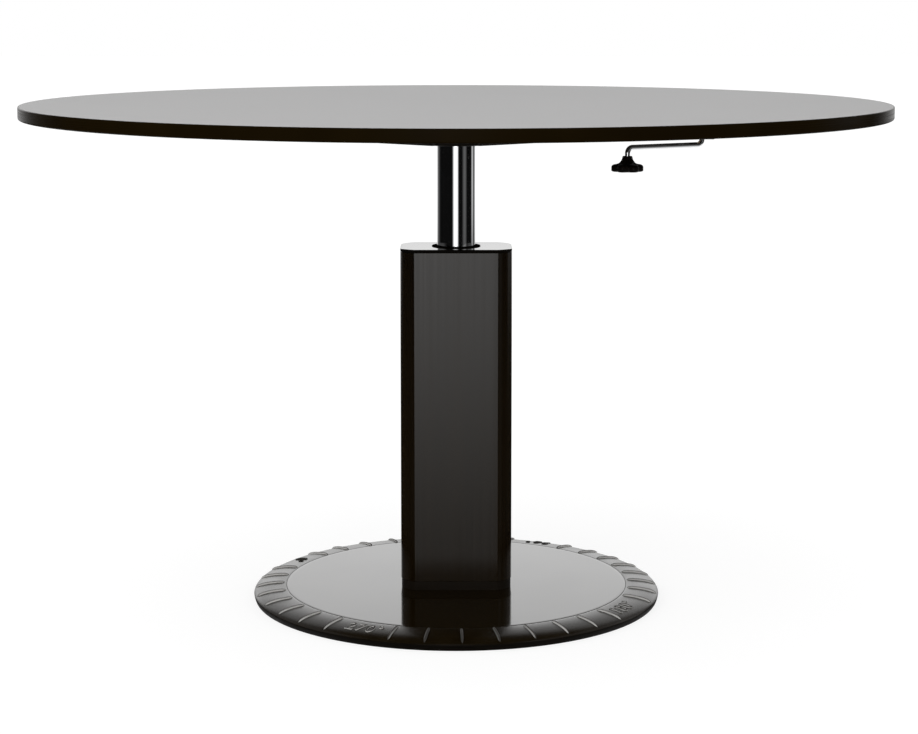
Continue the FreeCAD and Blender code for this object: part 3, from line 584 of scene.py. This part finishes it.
# ================================================================ geometry trees
def new_growth(name, inputs):
    """An empty geometry tree with its named inputs; returns it, its inputs and a function that ends it."""
    group = bpy.data.node_groups.new(name, "GeometryNodeTree")
    group.interface.new_socket("Geometry", in_out="INPUT", socket_type="NodeSocketGeometry")
    group.interface.new_socket("Geometry", in_out="OUTPUT", socket_type="NodeSocketGeometry")
    kinds = {float: "NodeSocketFloat", int: "NodeSocketInt"}
    for label, value in inputs.items():
        socket = group.interface.new_socket(label, in_out="INPUT", socket_type=kinds[type(value)])
        socket.default_value = value
    tree = Tree(group)
    given = {s.output.name: s for s in tree.outputs(tree.add("NodeGroupInput")) if s.output.name}

    def end(geometry, material):
        real = tree.add("GeometryNodeRealizeInstances", None, {0: geometry})
        painted = tree.add("GeometryNodeSetMaterial", None, {"Geometry": real, "Material": material})
        tree.add("NodeGroupOutput", None, {0: painted})
        return group

    return tree, given, end


def at_seeds(tree, given, body):
    """Places a body at each point that the tree is given."""
    seeds = tree.add("GeometryNodeMeshToPoints", None, {"Mesh": given["Geometry"]})
    return tree.add("GeometryNodeInstanceOnPoints", None, {"Points": seeds, "Instance": body})


def turned(tree, profile, sides):
    """Lathe in a tree: a line of points up the axis, thickened to the radius of each."""
    count = len(profile)
    line = tree.add("GeometryNodeMeshLine", None, {"Count": count})
    index = tree.add("GeometryNodeInputIndex")
    height = tree.add("GeometryNodeIndexSwitch", {"data_type": "FLOAT"})
    radius = tree.add("GeometryNodeIndexSwitch", {"data_type": "FLOAT"})
    for switch, column in ((height, 1), (radius, 0)):
        node = switch.output.node
        while len(node.index_switch_items) < count:
            node.index_switch_items.new()
        tree.fill(node, {"Index": index})
        tree.fill(node, {i + 1: row[column] for i, row in enumerate(profile)})
    placed = tree.add("GeometryNodeSetPosition", None, {"Geometry": line, "Position": tree.xyz(z=height)})
    path = tree.add("GeometryNodeMeshToCurve", None, {0: placed})
    circle = tree.add("GeometryNodeCurvePrimitiveCircle", None, {"Resolution": sides, "Radius": 1.0})
    body = {"Curve": path, "Profile Curve": circle, "Scale": radius, "Fill Caps": True}
    return tree.add("GeometryNodeCurveToMesh", None, body)


def rib_growth(material):
    """Ribs across the crown of the ring, one at each step but where a number stands."""
    sizes = {
        "Count": RIB_COUNT,
        "Per Number": RIBS_PER_NUMBER,
        "First Angle": math.radians(RIB_FIRST),
        "Inner Radius": SEAM + 2.5 * MM,
        "Outer Radius": WAIST - 2.5 * MM,
        "Crown Centre": CROWN_CENTRE,
        "Crown Reach": CROWN_REACH,
        "Crown Height": CROWN,
        "Waist Height": WAIST_Z,
        "Width": 4.4 * MM,
        "Proud": 2.8 * MM,
    }
    tree, given, end = new_growth("ribs", sizes)
    line = tree.add("GeometryNodeCurvePrimitiveLine", None, {"End": (1.0, 0.0, 0.0)})
    path = tree.add("GeometryNodeResampleCurve", None, {"Curve": line, "Count": 19})
    along = tree.add("GeometryNodeSplineParameter", out="Factor")
    radius = given["Inner Radius"] + (given["Outer Radius"] - given["Inner Radius"]) * along
    share = (radius - given["Crown Centre"]) / given["Crown Reach"]
    height = given["Waist Height"] + given["Crown Height"] * (1.0 - share * share).most(0.0).root()
    fade = abs(along * 2.0 - 1.0) ** 8.0
    sink = given["Proud"] * 0.35 * fade
    where = tree.xyz(y=radius * -1.0, z=height - sink)
    bent = tree.add("GeometryNodeSetPosition", None, {"Geometry": path, "Position": where})
    upright = tree.add("GeometryNodeSetCurveNormal", {"mode": "Z_UP"}, {"Curve": bent})
    circle = tree.add("GeometryNodeCurvePrimitiveCircle", None, {"Resolution": 14, "Radius": 1.0})
    x, y = tree.parts(tree.add("GeometryNodeInputPosition"))[:2]
    mark = {"Geometry": circle, "Name": "crest", "Value": y * -1.0}
    marked = tree.add("GeometryNodeStoreNamedAttribute", {"data_type": "FLOAT"}, mark)
    oval = tree.xyz(x=x * given["Width"] * 0.5, y=y * given["Proud"])
    section = tree.add("GeometryNodeSetPosition", None, {"Geometry": marked, "Position": oval})
    body = {"Curve": upright, "Profile Curve": section, "Scale": 1.0 - fade * 0.75, "Fill Caps": True}
    rib = tree.add("GeometryNodeCurveToMesh", None, body)
    points = tree.add("GeometryNodePoints", None, {"Count": given["Count"]})
    index = tree.add("GeometryNodeInputIndex")
    turn = given["First Angle"] + index * (TAU / RIB_COUNT)
    kept = (index + RIBS_TO_NUMBER) % given["Per Number"] > 0.5
    spread = {"Points": points, "Selection": kept, "Instance": rib, "Rotation": tree.xyz(z=turn)}
    return end(tree.add("GeometryNodeInstanceOnPoints", None, spread), material), sizes


def screw_growth(name, material, countersunk):
    """A screw at each seed point, its shank upwards: head, shank and a six-sided socket."""
    sizes = {"Shank": 3 * MM, "Length": 20 * MM}
    tree, given, end = new_growth(name, sizes)
    shank = given["Shank"]
    length = given["Length"]
    if countersunk:
        profile = [(shank * 1.9, 0.0), (shank * 2.0, shank * 0.08), (shank, shank), (shank, length)]
        head = 0.0
        socket_r = shank * 0.62
    else:
        head = shank * -HEAD_HEIGHT
        profile = [
            (shank * 1.5, head),
            (shank * 1.65, head + shank * 0.15),
            (shank * 1.65, 0.0),
            (shank, 0.01 * MM),
            (shank, length - shank * 0.4),
            (shank * 0.7, length),
        ]
        socket_r = shank * 0.92
    body = turned(tree, profile, 28)
    hexagon = {"Vertices": 6, "Radius": socket_r, "Depth": shank * 1.8}
    key = tree.add("GeometryNodeMeshCylinder", None, hexagon)
    placed = tree.add("GeometryNodeTransform", None, {"Geometry": key, "Translation": tree.xyz(z=head)})
    cut = tree.add("GeometryNodeMeshBoolean", {"operation": "DIFFERENCE"}, {"Mesh 1": body, "Mesh 2": placed})
    return end(at_seeds(tree, given, cut), material), sizes


def glide_growth(material):
    """A floor glide at each seed point: a soft-edged pad with a stem in the ring."""
    sizes = {"Pad Radius": 8 * MM, "Pad Height": RING_LIFT, "Stem Radius": 3 * MM, "Stem Height": 5.5 * MM}
    tree, given, end = new_growth("glides", sizes)
    pad = given["Pad Radius"]
    tall = given["Pad Height"]
    stem = given["Stem Radius"]
    profile = [
        (pad - tall * 0.5, 0.0),
        (pad - tall * 0.12, tall * 0.15),
        (pad, tall * 0.5),
        (pad, tall),
        (stem, tall + 0.01 * MM),
        (stem, tall + given["Stem Height"]),
    ]
    return end(at_seeds(tree, given, turned(tree, profile, 32)), material), sizes


# ================================================================ base ring and its scale
def crown_height(r):
    """Height of the ring's crown at a radius."""
    share = (r - CROWN_CENTRE) / CROWN_REACH
    return WAIST_Z + CROWN * math.sqrt(max(0.0, 1 - share * share))


def ring_mesh():
    """The ring's section, turned: crown, bulging skirt, lip at the floor and ledge under the plate."""
    crown = []
    steps = 26
    first = math.acos((SEAM + 0.5 * MM - CROWN_CENTRE) / CROWN_REACH)
    for i in range(steps + 1):
        a = first * (1 - i / steps)
        crown.append((CROWN_CENTRE + CROWN_REACH * math.cos(a), WAIST_Z + CROWN * math.sin(a)))
    foot = WAIST - FOOT_IN
    skirt = []
    steps = 7
    for i in range(1, steps):
        share = i / steps
        bulge = SKIRT_BULGE * math.sin(math.pi * share)
        skirt.append((WAIST + (foot - WAIST) * share + bulge, WAIST_Z + (SKIRT_LOW - WAIST_Z) * share))
    under = [
        (foot, SKIRT_LOW + LIP_EDGE),
        (foot - LIP_EDGE, SKIRT_LOW),
        (foot - LIP_WIDTH, SKIRT_LOW),
        (foot - LIP_WIDTH - LIP_FALL, RING_LIFT),
        (LEDGE_R, RING_LIFT),
        (LEDGE_R, WAIST_Z),
        (SEAM, WAIST_Z),
        (SEAM, crown_height(SEAM) - 0.5 * MM),
        (SEAM + 0.15 * MM, crown_height(SEAM) - 0.12 * MM),
    ]
    return lathe("ring", crown + skirt + under, 360)


def flat_number(text, tall):
    """Letters of a height, lying flat at the origin, with bevelled edges."""
    curve = bpy.data.curves.new("number", "FONT")
    curve.body = text
    curve.size = tall / 0.73
    curve.extrude = NUMBER_THICK
    curve.bevel_depth = NUMBER_BEVEL
    curve.bevel_resolution = 2
    curve.offset = -0.25 * MM
    curve.align_x = "CENTER"
    curve.space_character = 1.16
    curve.resolution_u = 6
    obj = linked("number", curve)
    bpy.context.view_layer.update()
    mesh = bpy.data.meshes.new_from_object(obj.evaluated_get(bpy.context.evaluated_depsgraph_get()))
    bpy.data.objects.remove(obj)
    bpy.data.curves.remove(curve)
    return mesh


def number_mesh(text, deg):
    """A raised number laid over the crown, upright for a reader outside the ring."""
    tall = 23.5 * MM
    narrow = 0.86
    middle = 295 * MM
    above_crown = 0.2 * MM
    longest = 2.5 * MM
    mesh = flat_number(text, tall)
    bm = bmesh.new()
    bm.from_mesh(mesh)
    bmesh.ops.remove_doubles(bm, verts=bm.verts, dist=MERGE_REACH)
    long_edges = [e for e in bm.edges if e.calc_length() > longest]
    bmesh.ops.subdivide_edges(bm, edges=long_edges, cuts=3)
    bmesh.ops.triangulate(bm, faces=bm.faces)
    crest = bm.verts.layers.float.new("crest")
    for v in bm.verts:
        v[crest] = passage(v.co.z, 0.0, NUMBER_THICK + NUMBER_BEVEL)
        x = v.co.x * narrow
        r = middle - (v.co.y - tall / 2)
        share = min(0.98, (r - CROWN_CENTRE) / CROWN_REACH)
        up = math.sqrt(1 - share * share)
        normal = Vector((share / CROWN_REACH, up / CROWN)).normalized()
        proud = v.co.z + above_crown
        v.co = front(r + normal.x * proud, deg + math.degrees(x / middle), crown_height(r) + normal.y * proud)
    bmesh.ops.recalc_face_normals(bm, faces=bm.faces)
    bm.to_mesh(mesh)
    bm.free()
    return mesh


def passage(value, low, high):
    """Straight passage from 0 to 1 as the value goes from low to high."""
    return min(1.0, max(0.0, (value - low) / (high - low)))


def mark_painted_highlight(mesh, down):
    """Marks where a pale highlight is painted, standing in for light on the steep sides towards the front,
    and near the front a little along the crests; down is the share for the sides that look outwards."""
    marks = mesh.attributes["crest"].data
    for mark, vertex, normal in zip(marks, mesh.vertices, mesh.vertex_normals):
        out = Vector((vertex.co.x, vertex.co.y)).normalized()
        level = Vector((normal.vector.x, normal.vector.y))
        outward = level.dot(out)
        across = level - out * outward
        aside = passage(abs(out.x), 0.1, 0.5)
        steep = passage(across.length, 0.55, 0.8) * aside if across.y < 0 else 0.0
        lower = passage(down * outward * -out.y, 0.1, 0.5)
        along = passage(mark.value, 0.2, 0.8) * (1 - 0.8 * aside)
        mark.value = max(0.08 * along, steep, lower)


def joined(name, meshes, material, sharp):
    """One piece from several meshes."""
    bm = bmesh.new()
    for mesh in meshes:
        bm.from_mesh(mesh)
    mesh = bpy.data.meshes.new(name)
    bm.to_mesh(mesh)
    bm.free()
    return piece(name, mesh, material, sharp)


def make_plate():
    r = plate_high.x
    top = plate_high.z
    soft = 0.3 * MM
    profile = [(0.0, plate_low.z), (r, plate_low.z), (r, top - soft)]
    profile += arc((r - soft, top - soft), soft, 15, 90, 5)
    profile += [(r * share, top) for share in (0.98, 0.8, 0.6, 0.4, 0.2, 0.0)]
    plate = piece("disc_plate", lathe("disc_plate", profile, 360, "open"), PLATE, 40.0)
    stand_in(plate, "base", "base_plate")


def make_ring():
    tree, sizes = rib_growth(SCALE)
    ribs = grown("scale_ribs", tree, sizes, [(0, 0, 0)], SCALE, 50.0)
    # Marks the painted highlight on the ribs' steep sides towards the front.
    mark_painted_highlight(ribs.data, 0.0)
    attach(ribs, "base")
    meshes = []
    for i, (text, shift) in enumerate(NUMBERS):
        meshes.append(number_mesh(text, NUMBER_FIRST + RIBS_PER_NUMBER * RIB_STEP * i + shift))
    numbers = joined("scale_numbers", meshes, SCALE, 40.0)
    # Marks the painted highlight on the numbers' sides towards the front and outwards.
    mark_painted_highlight(numbers.data, 0.8)
    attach(numbers, "base")
    # The ring's faces that don't look up get the painted shade.
    ring = shade_painted_sides(piece("scale_ring", ring_mesh(), RING, 40.0), RING_SIDE_SHADE, 0.25)
    stand_in(ring, "base", "base_ring")


# ================================================================ column
def column_outline(inset, z):
    """The column's outline: flats with round corners that start at a softened crease."""
    corner_x = COLUMN_SIDE - COLUMN_CORNER
    r = COLUMN_CORNER - inset
    face = COLUMN_FRONT - inset
    lean = math.acos((face - COLUMN_SIDE_HALF) / r)
    turn = lean / 2
    soft = CREASE_ROUND
    quarter = []
    crease = Vector((corner_x + r * math.sin(lean), face))
    back = soft * math.tan(turn)
    centre = Vector((crease.x - back, face - soft))
    flat_steps = 6
    crease_steps = 4
    corner_steps = 14
    for i in range(flat_steps):
        quarter.append(Vector((centre.x * i / flat_steps, face)))
    for i in range(crease_steps + 1):
        a = lean * i / crease_steps
        quarter.append(centre + Vector((math.sin(a), math.cos(a))) * soft)
    for i in range(1, corner_steps + 1):
        a = lean + (math.pi / 2 - lean) * i / corner_steps
        quarter.append(Vector((corner_x + r * math.sin(a), COLUMN_SIDE_HALF + r * math.cos(a))))
    quarter.append(Vector((COLUMN_SIDE - inset, COLUMN_SIDE_HALF / 2)))
    side = [Vector((COLUMN_SIDE - inset, 0.0))]
    right = quarter + side + [Vector((p.x, -p.y)) for p in quarter[::-1]]
    left = [Vector((-p.x, p.y)) for p in right[::-1]][1:-1]
    return [Vector((p.x, p.y, z)) for p in right + left]


def circle_like(outline, r, z):
    """Points on a circle, in the directions of an outline's points."""
    points = []
    for p in outline:
        flat = Vector((p.x, p.y, 0.0)).normalized() * r
        points.append(Vector((flat.x, flat.y, z)))
    return points


def make_column():
    """The column's shell, its cut ends softened."""
    low = shell_low.z
    high = shell_high.z
    edge = 0.25 * MM
    rows = [
        column_outline(edge, low),
        column_outline(0.0, low + edge),
        column_outline(0.0, low + (high - low) / 3),
        column_outline(0.0, low + (high - low) * 2 / 3),
        column_outline(0.0, high - edge),
        column_outline(edge, high),
        column_outline(COLUMN_WALL, high),
        column_outline(COLUMN_WALL, low),
    ]
    stand_in(piece("column", skin("column", rows, "loop"), COLUMN, 32.0), "base", "column_shell")


def make_cap():
    """The cap over its shadow groove: a small round edge, then a top that rises a little and levels out."""
    groove_in = 1.0 * MM
    groove_top = shell_high.z + 1.0 * MM
    edge = 0.2 * MM
    round_r = 0.4 * MM
    fall = 0.5 * MM
    brow = 4.5 * MM
    around_bore = 4 * MM
    low = shell_high.z
    top = cap_high.z
    play = 0.2 * MM
    bore = bush_high.x - FLANGE_REACH + play
    rows = [column_outline(groove_in, low), column_outline(groove_in, groove_top)]
    rows += [column_outline(edge, groove_top), column_outline(0.0, groove_top + edge)]
    round_steps = 4
    for i in range(round_steps + 1):
        a = math.radians(75) * i / round_steps
        rows.append(column_outline(round_r * (1 - math.cos(a)), top - fall - round_r * (1 - math.sin(a))))
    brow_steps = 6
    for i in range(1, brow_steps + 1):
        share = i / brow_steps
        rows.append(column_outline(round_r + (brow - round_r) * share, top - fall * (1 - share) ** 2))
    rows.append(circle_like(rows[-1], bore + around_bore, top))
    rows.append(circle_like(rows[-1], bore, top))
    rows.append(circle_like(rows[-2], bore, low))
    # The cap's faces that don't look up get the painted shade.
    cap = shade_painted_sides(piece("column_cap", skin("column_cap", rows, "loop"), CAP, 32.0), CAP_SIDE_SHADE, 0.7)
    stand_in(cap, "base", "column_cap_plate")


def make_bush():
    """The bush that the tube runs in, its flange on the cap."""
    outer = bush_high.x
    body = outer - FLANGE_REACH
    flange_thick = 1.1 * MM
    flange_top = cap_high.z + flange_thick
    soft = 0.3 * MM
    play = 0.1 * MM
    inner = tube_high.x + play
    mouth = 0.5 * MM
    profile = [(body, bush_low.z), (body, cap_high.z), (outer, cap_high.z)]
    profile += arc((outer - soft, flange_top - soft), soft, 0, 90, 5)
    profile += [(inner + mouth, flange_top), (inner, flange_top - mouth), (inner, bush_low.z)]
    stand_in(piece("tube_bush", lathe("tube_bush", profile, 160), BUSH), "base", "guide_bush")


def make_tube():
    wall = 3 * MM
    outer = tube_high.x
    inner = outer - wall
    profile = [(outer, tube_low.z), (outer, tube_high.z), (inner, tube_high.z), (inner, tube_low.z)]
    stand_in(piece("chromed_tube", lathe("chromed_tube", profile, 200), CHROME), "lift", "lift_tube")


# ================================================================ table top
def make_top():
    """The laminate face, and the edge band with a soft upper edge and a rounder lower one."""
    r = face_high.x
    lip = 0.12 * MM
    profile = [(0.0, face_low.z), (r, face_low.z), (r, face_high.z - lip), (r - lip, face_high.z)]
    profile += [(r * share, face_high.z) for share in (0.75, 0.5, 0.25, 0.0)]
    face = piece("laminate_face", lathe("laminate_face", profile, 320, "open"), GREY_TOP, 30.0)
    stand_in(face, "lift", "top_laminate")

    outer = band_high.x
    inner = face_high.x
    upper = 1.5 * MM
    lower = 2.5 * MM
    arc_start = 0.05 * MM
    profile = [(inner, band_low.z + arc_start)]
    profile += arc((outer - lower, band_low.z + lower), lower, -78, 0, 10)
    profile += arc((outer - upper, band_high.z - upper), upper, 0, 90, 10)
    profile += [(inner, band_high.z)]
    stand_in(piece("edge_strip", lathe("edge_strip", profile, 360), EDGE, 40.0), "lift", "edge_band")


# ================================================================ crank and knob
# The knob's outline from its underside up: share of the radius, share of the height, depth of the hollows.
KNOB_OUTLINE = (
    (0.6, 0.0, 0.3), (0.85, 0.003, 0.85), (0.93, 0.02, 1.0), (0.98, 0.05, 1.0), (1.0, 0.09, 1.0),
    (1.0, 0.3, 1.0), (0.985, 0.36, 1.0), (0.94, 0.42, 0.97), (0.87, 0.46, 0.85), (0.79, 0.48, 0.65),
    (0.70, 0.495, 0.4), (0.62, 0.51, 0.2), (0.55, 0.54, 0.08), (0.49, 0.58, 0.0), (0.44, 0.64, 0.0),
    (0.39, 0.71, 0.0), (0.355, 0.78, 0.0), (0.33, 0.86, 0.0), (0.31, 0.95, 0.0), (0.295, 0.985, 0.0),
    (0.27, 1.0, 0.0),
)


def make_crank():
    """Bent rod: down from the gear housing, along under the top and down into the knob."""
    pivot = joint_place["crank_turn"]
    grip = joint_place["knob_spin"]
    radius = 4 * MM
    bend = 9 * MM
    bend_steps = 12
    sides = 32
    level = knob_high.z + 13 * MM
    way = (Vector((grip.x, grip.y, 0)) - Vector((pivot.x, pivot.y, 0))).normalized()
    up = Vector((0, 0, 1))
    first = Vector((pivot.x, pivot.y, level))
    second = Vector((grip.x, grip.y, level))
    quarter = [math.pi / 2 * i / bend_steps for i in range(bend_steps + 1)]
    points = [Vector((pivot.x, pivot.y, rod_high.z))]
    for a in quarter:
        points.append(first + (way + up) * bend - way * bend * math.cos(a) - up * bend * math.sin(a))
    for a in quarter:
        points.append(second - (way + up) * bend + way * bend * math.sin(a) + up * bend * math.cos(a))
    points.append(Vector((grip.x, grip.y, rod_low.z)))
    angles = [TAU * k / sides for k in range(sides)]
    rows = []
    side = way.cross(up)
    for i, p in enumerate(points):
        before = points[max(i - 1, 0)]
        after = points[min(i + 1, len(points) - 1)]
        along = (after - before).normalized()
        other = along.cross(side).normalized()
        rows.append([p + side * radius * math.cos(a) + other * radius * math.sin(a) for a in angles])
    rod = piece("crank_handle", skin("crank_handle", rows, "cap"), CHROME, 40.0)
    stand_in(rod, "crank", "crank_rod")


def make_knob():
    """Star knob: full round lobes that run into a hollow-sided neck."""
    grip = joint_place["knob_spin"]
    low = knob_low.z
    tall = knob_high.z - low
    r = knob_high.x - grip.x
    bore = 4.1 * MM
    pocket = 8.0 * MM
    pocket_top = low + 3.8 * MM
    lobes = 6
    hollow_share = 0.2
    profile = [(bore, pocket_top, 0.0), (pocket, pocket_top, 0.0), (pocket, low + 0.2 * MM, 0.0)]
    profile.append((pocket + 0.3 * MM, low, 0.0))
    profile += [(wide * r, low + high * tall, hollow) for wide, high, hollow in KNOB_OUTLINE]
    profile.append((bore, low + tall, 0.0))
    rows = []
    turns = 144
    for radius, z, hollow in profile:
        row = []
        for k in range(turns):
            a = TAU * k / turns
            dip = (0.5 + 0.5 * math.cos(lobes * a)) ** 1.4
            reach = radius - hollow * hollow_share * r * dip
            row.append(Vector((grip.x, grip.y, 0)) + front(reach, math.degrees(a), z))
        rows.append(row)
    obj = piece("star_knob", skin("star_knob", rows, "loop"), KNOB, 45.0)
    stand_in(obj, "knob", "crank_knob")


# ================================================================ screws and glides
def make_fixings():
    """The floor glides, and between them the ring's screws; then the cap screws under the top."""
    count = 8
    step = 360.0 / count
    tree, sizes = glide_growth(GLIDE)
    places = [front(SEAM - GLIDE_IN, step * i) for i in range(count)]
    stand_in(grown("feet", tree, sizes, places, GLIDE), "base", "floor_glides")

    tree, sizes = screw_growth("flat_screws", ZINC, True)
    places = [front(SEAM - RING_SCREW_IN, step / 2 + step * i, RING_LIFT) for i in range(count)]
    shank = 2.5 * MM
    sizes.update({"Shank": shank, "Length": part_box("ring_screws")[1].z - RING_LIFT})
    stand_in(grown("ring_fixings", tree, sizes, places, ZINC), "base", "ring_screws")

    tree, sizes = screw_growth("cap_screws", ZINC, False)
    shank = 3 * MM
    for name, node, places in cap_screw_groups():
        low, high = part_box(node)
        seat = low.z + HEAD_HEIGHT * shank
        spots = [Vector((p.x, p.y, seat)) for p in places]
        sizes.update({"Shank": shank, "Length": high.z - seat})
        stand_in(grown(name, tree, sizes, spots, ZINC), "lift", node)


def cap_screw_groups():
    """The groups of upright cap screws under the top: the piece, the part of the frame, and the places."""
    crank_x = joint_place["crank_turn"].x
    post_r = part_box("gear_housing")[1].x - 12 * MM
    arm_r = 317 * MM
    crank_y = 30 * MM
    return [
        ("housing_fixings", "gear_housing_screws", [front(post_r, d) for d in (60, 120, 240, 300)]),
        ("arm_fixings", "arm_top_screws", [front(arm_r, d) for d in (45, 135, 225, 315)]),
        ("crank_fixings", "crank_housing_screws", [Vector((crank_x, s * crank_y, 0)) for s in (1, -1)]),
    ]


# ================================================================ the parts that stay as they are
SMOOTHED = {
    "base": {
        "column_foot_plate": STEEL_BLACK,
        "nut_pillar": STEEL,
        "lead_nut": BRONZE,
    },
    "lift": {
        "gear_housing": HOUSING,
        "gear_housing_cover": STEEL_BLACK,
        "arm_front_right": STEEL_BLACK,
        "arm_back_right": STEEL_BLACK,
        "arm_back_left": STEEL_BLACK,
        "arm_front_left": STEEL_BLACK,
        "crank_gear_housing": STEEL_BLACK,
        "crank_bush": BRONZE,
        "shaft_bush_inner": BRONZE,
        "shaft_bush_outer": BRONZE,
        "screw_thrust_bearing": STEEL,
    },
    "screw": {"lead_screw": STEEL},
    "shaft": {"drive_shaft": STEEL},
    "knob": {"knob_end_cap": KNOB},
}
PLAIN = {
    "foot_screws": ZINC,
    "guide_housing": ALLOY,
    "guide_housing_screws": ZINC,
    "pillar_screws": ZINC,
    "nut_lock_pins": STEEL,
    "lower_guide_shoe": SHOE,
    "shoe_screws": ZINC,
    "hub_set_screws": ZINC,
    "arm_hub_screws": ZINC,
    "threaded_inserts": BRASS,
    "tabletop_core": BOARD,
    "backing_laminate": BACKING,
    "screw_bevel_gear": STEEL,
    "shaft_bevel_gear_inner": STEEL,
    "shaft_bevel_gear_outer": STEEL,
    "shaft_retaining_rings": STEEL,
    "crank_bevel_gear": STEEL,
    "knob_retainer": STEEL,
}


def dress_the_rest():
    """Smooths the parts whose own form is fine enough, and gives the last ones just a material."""
    for body, parts in SMOOTHED.items():
        for node, material in parts.items():
            smooth_copy(node, material, body)
    for node, material in PLAIN.items():
        mesh = frame["nodes"][node].data
        mesh.materials.clear()
        mesh.materials.append(material)


# ================================================================ stage
def studio_seen(angle, rise):
    """What polished surfaces see, by direction in degrees: angle from the front towards +X, rise above the
    horizon. A step fades a light in or out between two directions, and a span does both."""
    away = abs(angle)

    def span(low, full, fade, high):
        return angle.step(low, full) * angle.step(fade, high, 1.0, 0.0)

    # white backdrop behind the table, with a fainter glow on its left, dimmer towards the ceiling
    backdrop = away.step(136.0, 158.0) * rise.step(2.0, 13.0, 1.0, 1.92)
    left_glow = (angle * -1.0).step(105.0, 165.0, 0.0, 0.3)
    behind = backdrop.most(left_glow) * rise.step(-9.0, -5.0)
    behind = behind * rise.step(12.0, 28.0, 1.0, 0.3) * rise.step(30.0, 60.0, 1.0, 0.5)
    # soft lamp behind the camera, brightest near the horizon
    soft_lamp = span(-24.0, 12.0, -15.0, 17.0) * rise.step(-14.5, -5.5, 0.3, 5.2)
    soft_lamp = soft_lamp * rise.step(3.0, 12.0, 1.0, 0.06)
    # two dim strips on the right, one ahead of the table and one beside it
    ahead = span(34.0, 50.0, 54.0, 70.0) * rise.step(-13.0, -4.0, 0.02, 0.11) * rise.step(-3.0, 2.0, 1.0, 3.0)
    beside = span(100.0, 112.0, 118.0, 132.0) * rise.step(-8.0, -5.0, 0.0, 0.5)
    strips = (ahead + beside) * rise.step(30.0, 55.0, 1.0, 0.0)
    # pale floor, dark straight below and towards the camera
    floor_ahead = rise.step(-22.0, -16.0, 0.32, 0.0) * rise.step(-62.0, -46.0, 0.1, 1.0)
    floor_ahead = floor_ahead * away.step(20.0, 50.0)
    floor_behind = away.step(85.0, 105.0) * rise.step(-24.0, -18.0, 1.0, 0.0)
    # grey room at the sides and behind, dimmer overhead
    room = away.step(55.0, 90.0) * rise.step(0.0, 14.0, 0.0, 0.25) * rise.step(40.0, 70.0, 1.0, 0.3)
    return behind.most(soft_lamp).most(strips).most(floor_ahead.most(floor_behind)).most(room) + 0.004


def studio_world():
    """White for the camera, even light for dull surfaces, and the studio for polished ones."""
    dull_light = 0.85
    world = bpy.data.worlds.new("studio")
    bpy.context.scene.world = world
    world.use_nodes = True
    world.node_tree.nodes.clear()
    tree = Tree(world.node_tree)
    x, y, z = tree.parts(tree.add("ShaderNodeTexCoord", out="Generated"))
    degrees = 180 / math.pi
    angle = tree.add("ShaderNodeMath", {"operation": "ARCTAN2"}, {0: x, 1: y * -1.0}) * degrees
    rise = tree.add("ShaderNodeMath", {"operation": "ARCSINE"}, {0: z}) * degrees
    camera_ray = tree.add("ShaderNodeLightPath", out="Is Camera Ray")
    glossy_ray = tree.add("ShaderNodeLightPath", out="Is Glossy Ray")
    plain = 1.0 - glossy_ray.most(camera_ray)
    strength = plain * dull_light + camera_ray + glossy_ray * (1.0 - camera_ray) * studio_seen(angle, rise)
    light = tree.add("ShaderNodeBackground", None, {"Color": (1, 1, 1, 1), "Strength": strength})
    tree.add("ShaderNodeOutputWorld", None, {"Surface": light})


def white_floor():
    """White floor: it keeps a soft shadow of the table and lights its underside."""
    reach = 30.0
    corners = [(-reach, -reach, 0), (reach, -reach, 0), (reach, reach, 0), (-reach, reach, 0)]
    material = bpy.data.materials.new("floor_white")
    material.use_nodes = True
    material.node_tree.nodes.clear()
    tree = Tree(material.node_tree)
    camera_ray = tree.add("ShaderNodeLightPath", out="Is Camera Ray")
    dull = tree.add("ShaderNodeBsdfDiffuse", None, {"Color": (0.7, 0.7, 0.7, 1)})
    faint = tree.add("ShaderNodeBsdfDiffuse", None, {"Color": (0.3, 0.3, 0.3, 1)})
    glow = tree.add("ShaderNodeEmission", None, {"Color": (1, 1, 1, 1), "Strength": 0.8})
    shown = tree.add("ShaderNodeAddShader", None, {0: faint, 1: glow})
    mixed = tree.add("ShaderNodeMixShader", None, {0: camera_ray, 1: dull, 2: shown})
    tree.add("ShaderNodeOutputMaterial", None, {"Surface": mixed})
    floor = piece("floor", mesh_from("floor", corners, [(0, 1, 2, 3)]), material)
    floor.visible_glossy = False


def lamp(name, place, aim, size, power):
    """Area lamp that is felt but not seen, neither directly nor in a reflection."""
    data = bpy.data.lights.new(name, "AREA")
    data.shape = "RECTANGLE"
    data.size, data.size_y = size
    data.energy = power
    obj = linked(name, data)
    obj.location = place
    obj.rotation_euler = (Vector(aim) - Vector(place)).to_track_quat("-Z", "Y").to_euler()
    obj.visible_glossy = False
    obj.visible_camera = False


def camera():
    """Camera a little above the top, in front of the table and looking slightly down."""
    tilt_down = 7.165
    turn_right = 0.0726
    data = bpy.data.cameras.new("camera")
    data.sensor_width = 36.0
    data.lens = 88.4
    data.shift_y = -0.10
    data.clip_end = 200.0
    obj = linked("camera", data)
    obj.location = (0.0, -3.5105, 0.954)
    obj.rotation_euler = (math.radians(90 - tilt_down), 0.0, math.radians(-turn_right))
    bpy.context.scene.camera = obj


make_plate()
make_ring()
make_column()
make_cap()
make_bush()
make_tube()
make_top()
make_crank()
make_knob()
make_fixings()
dress_the_rest()
studio_world()
white_floor()
lamp("key", place=(-1.8, -2.6, 2.6), aim=(0.0, 0.0, 0.5), size=(1.6, 1.6), power=22.0)
camera()
bpy.context.scene.view_settings.view_transform = "Standard"
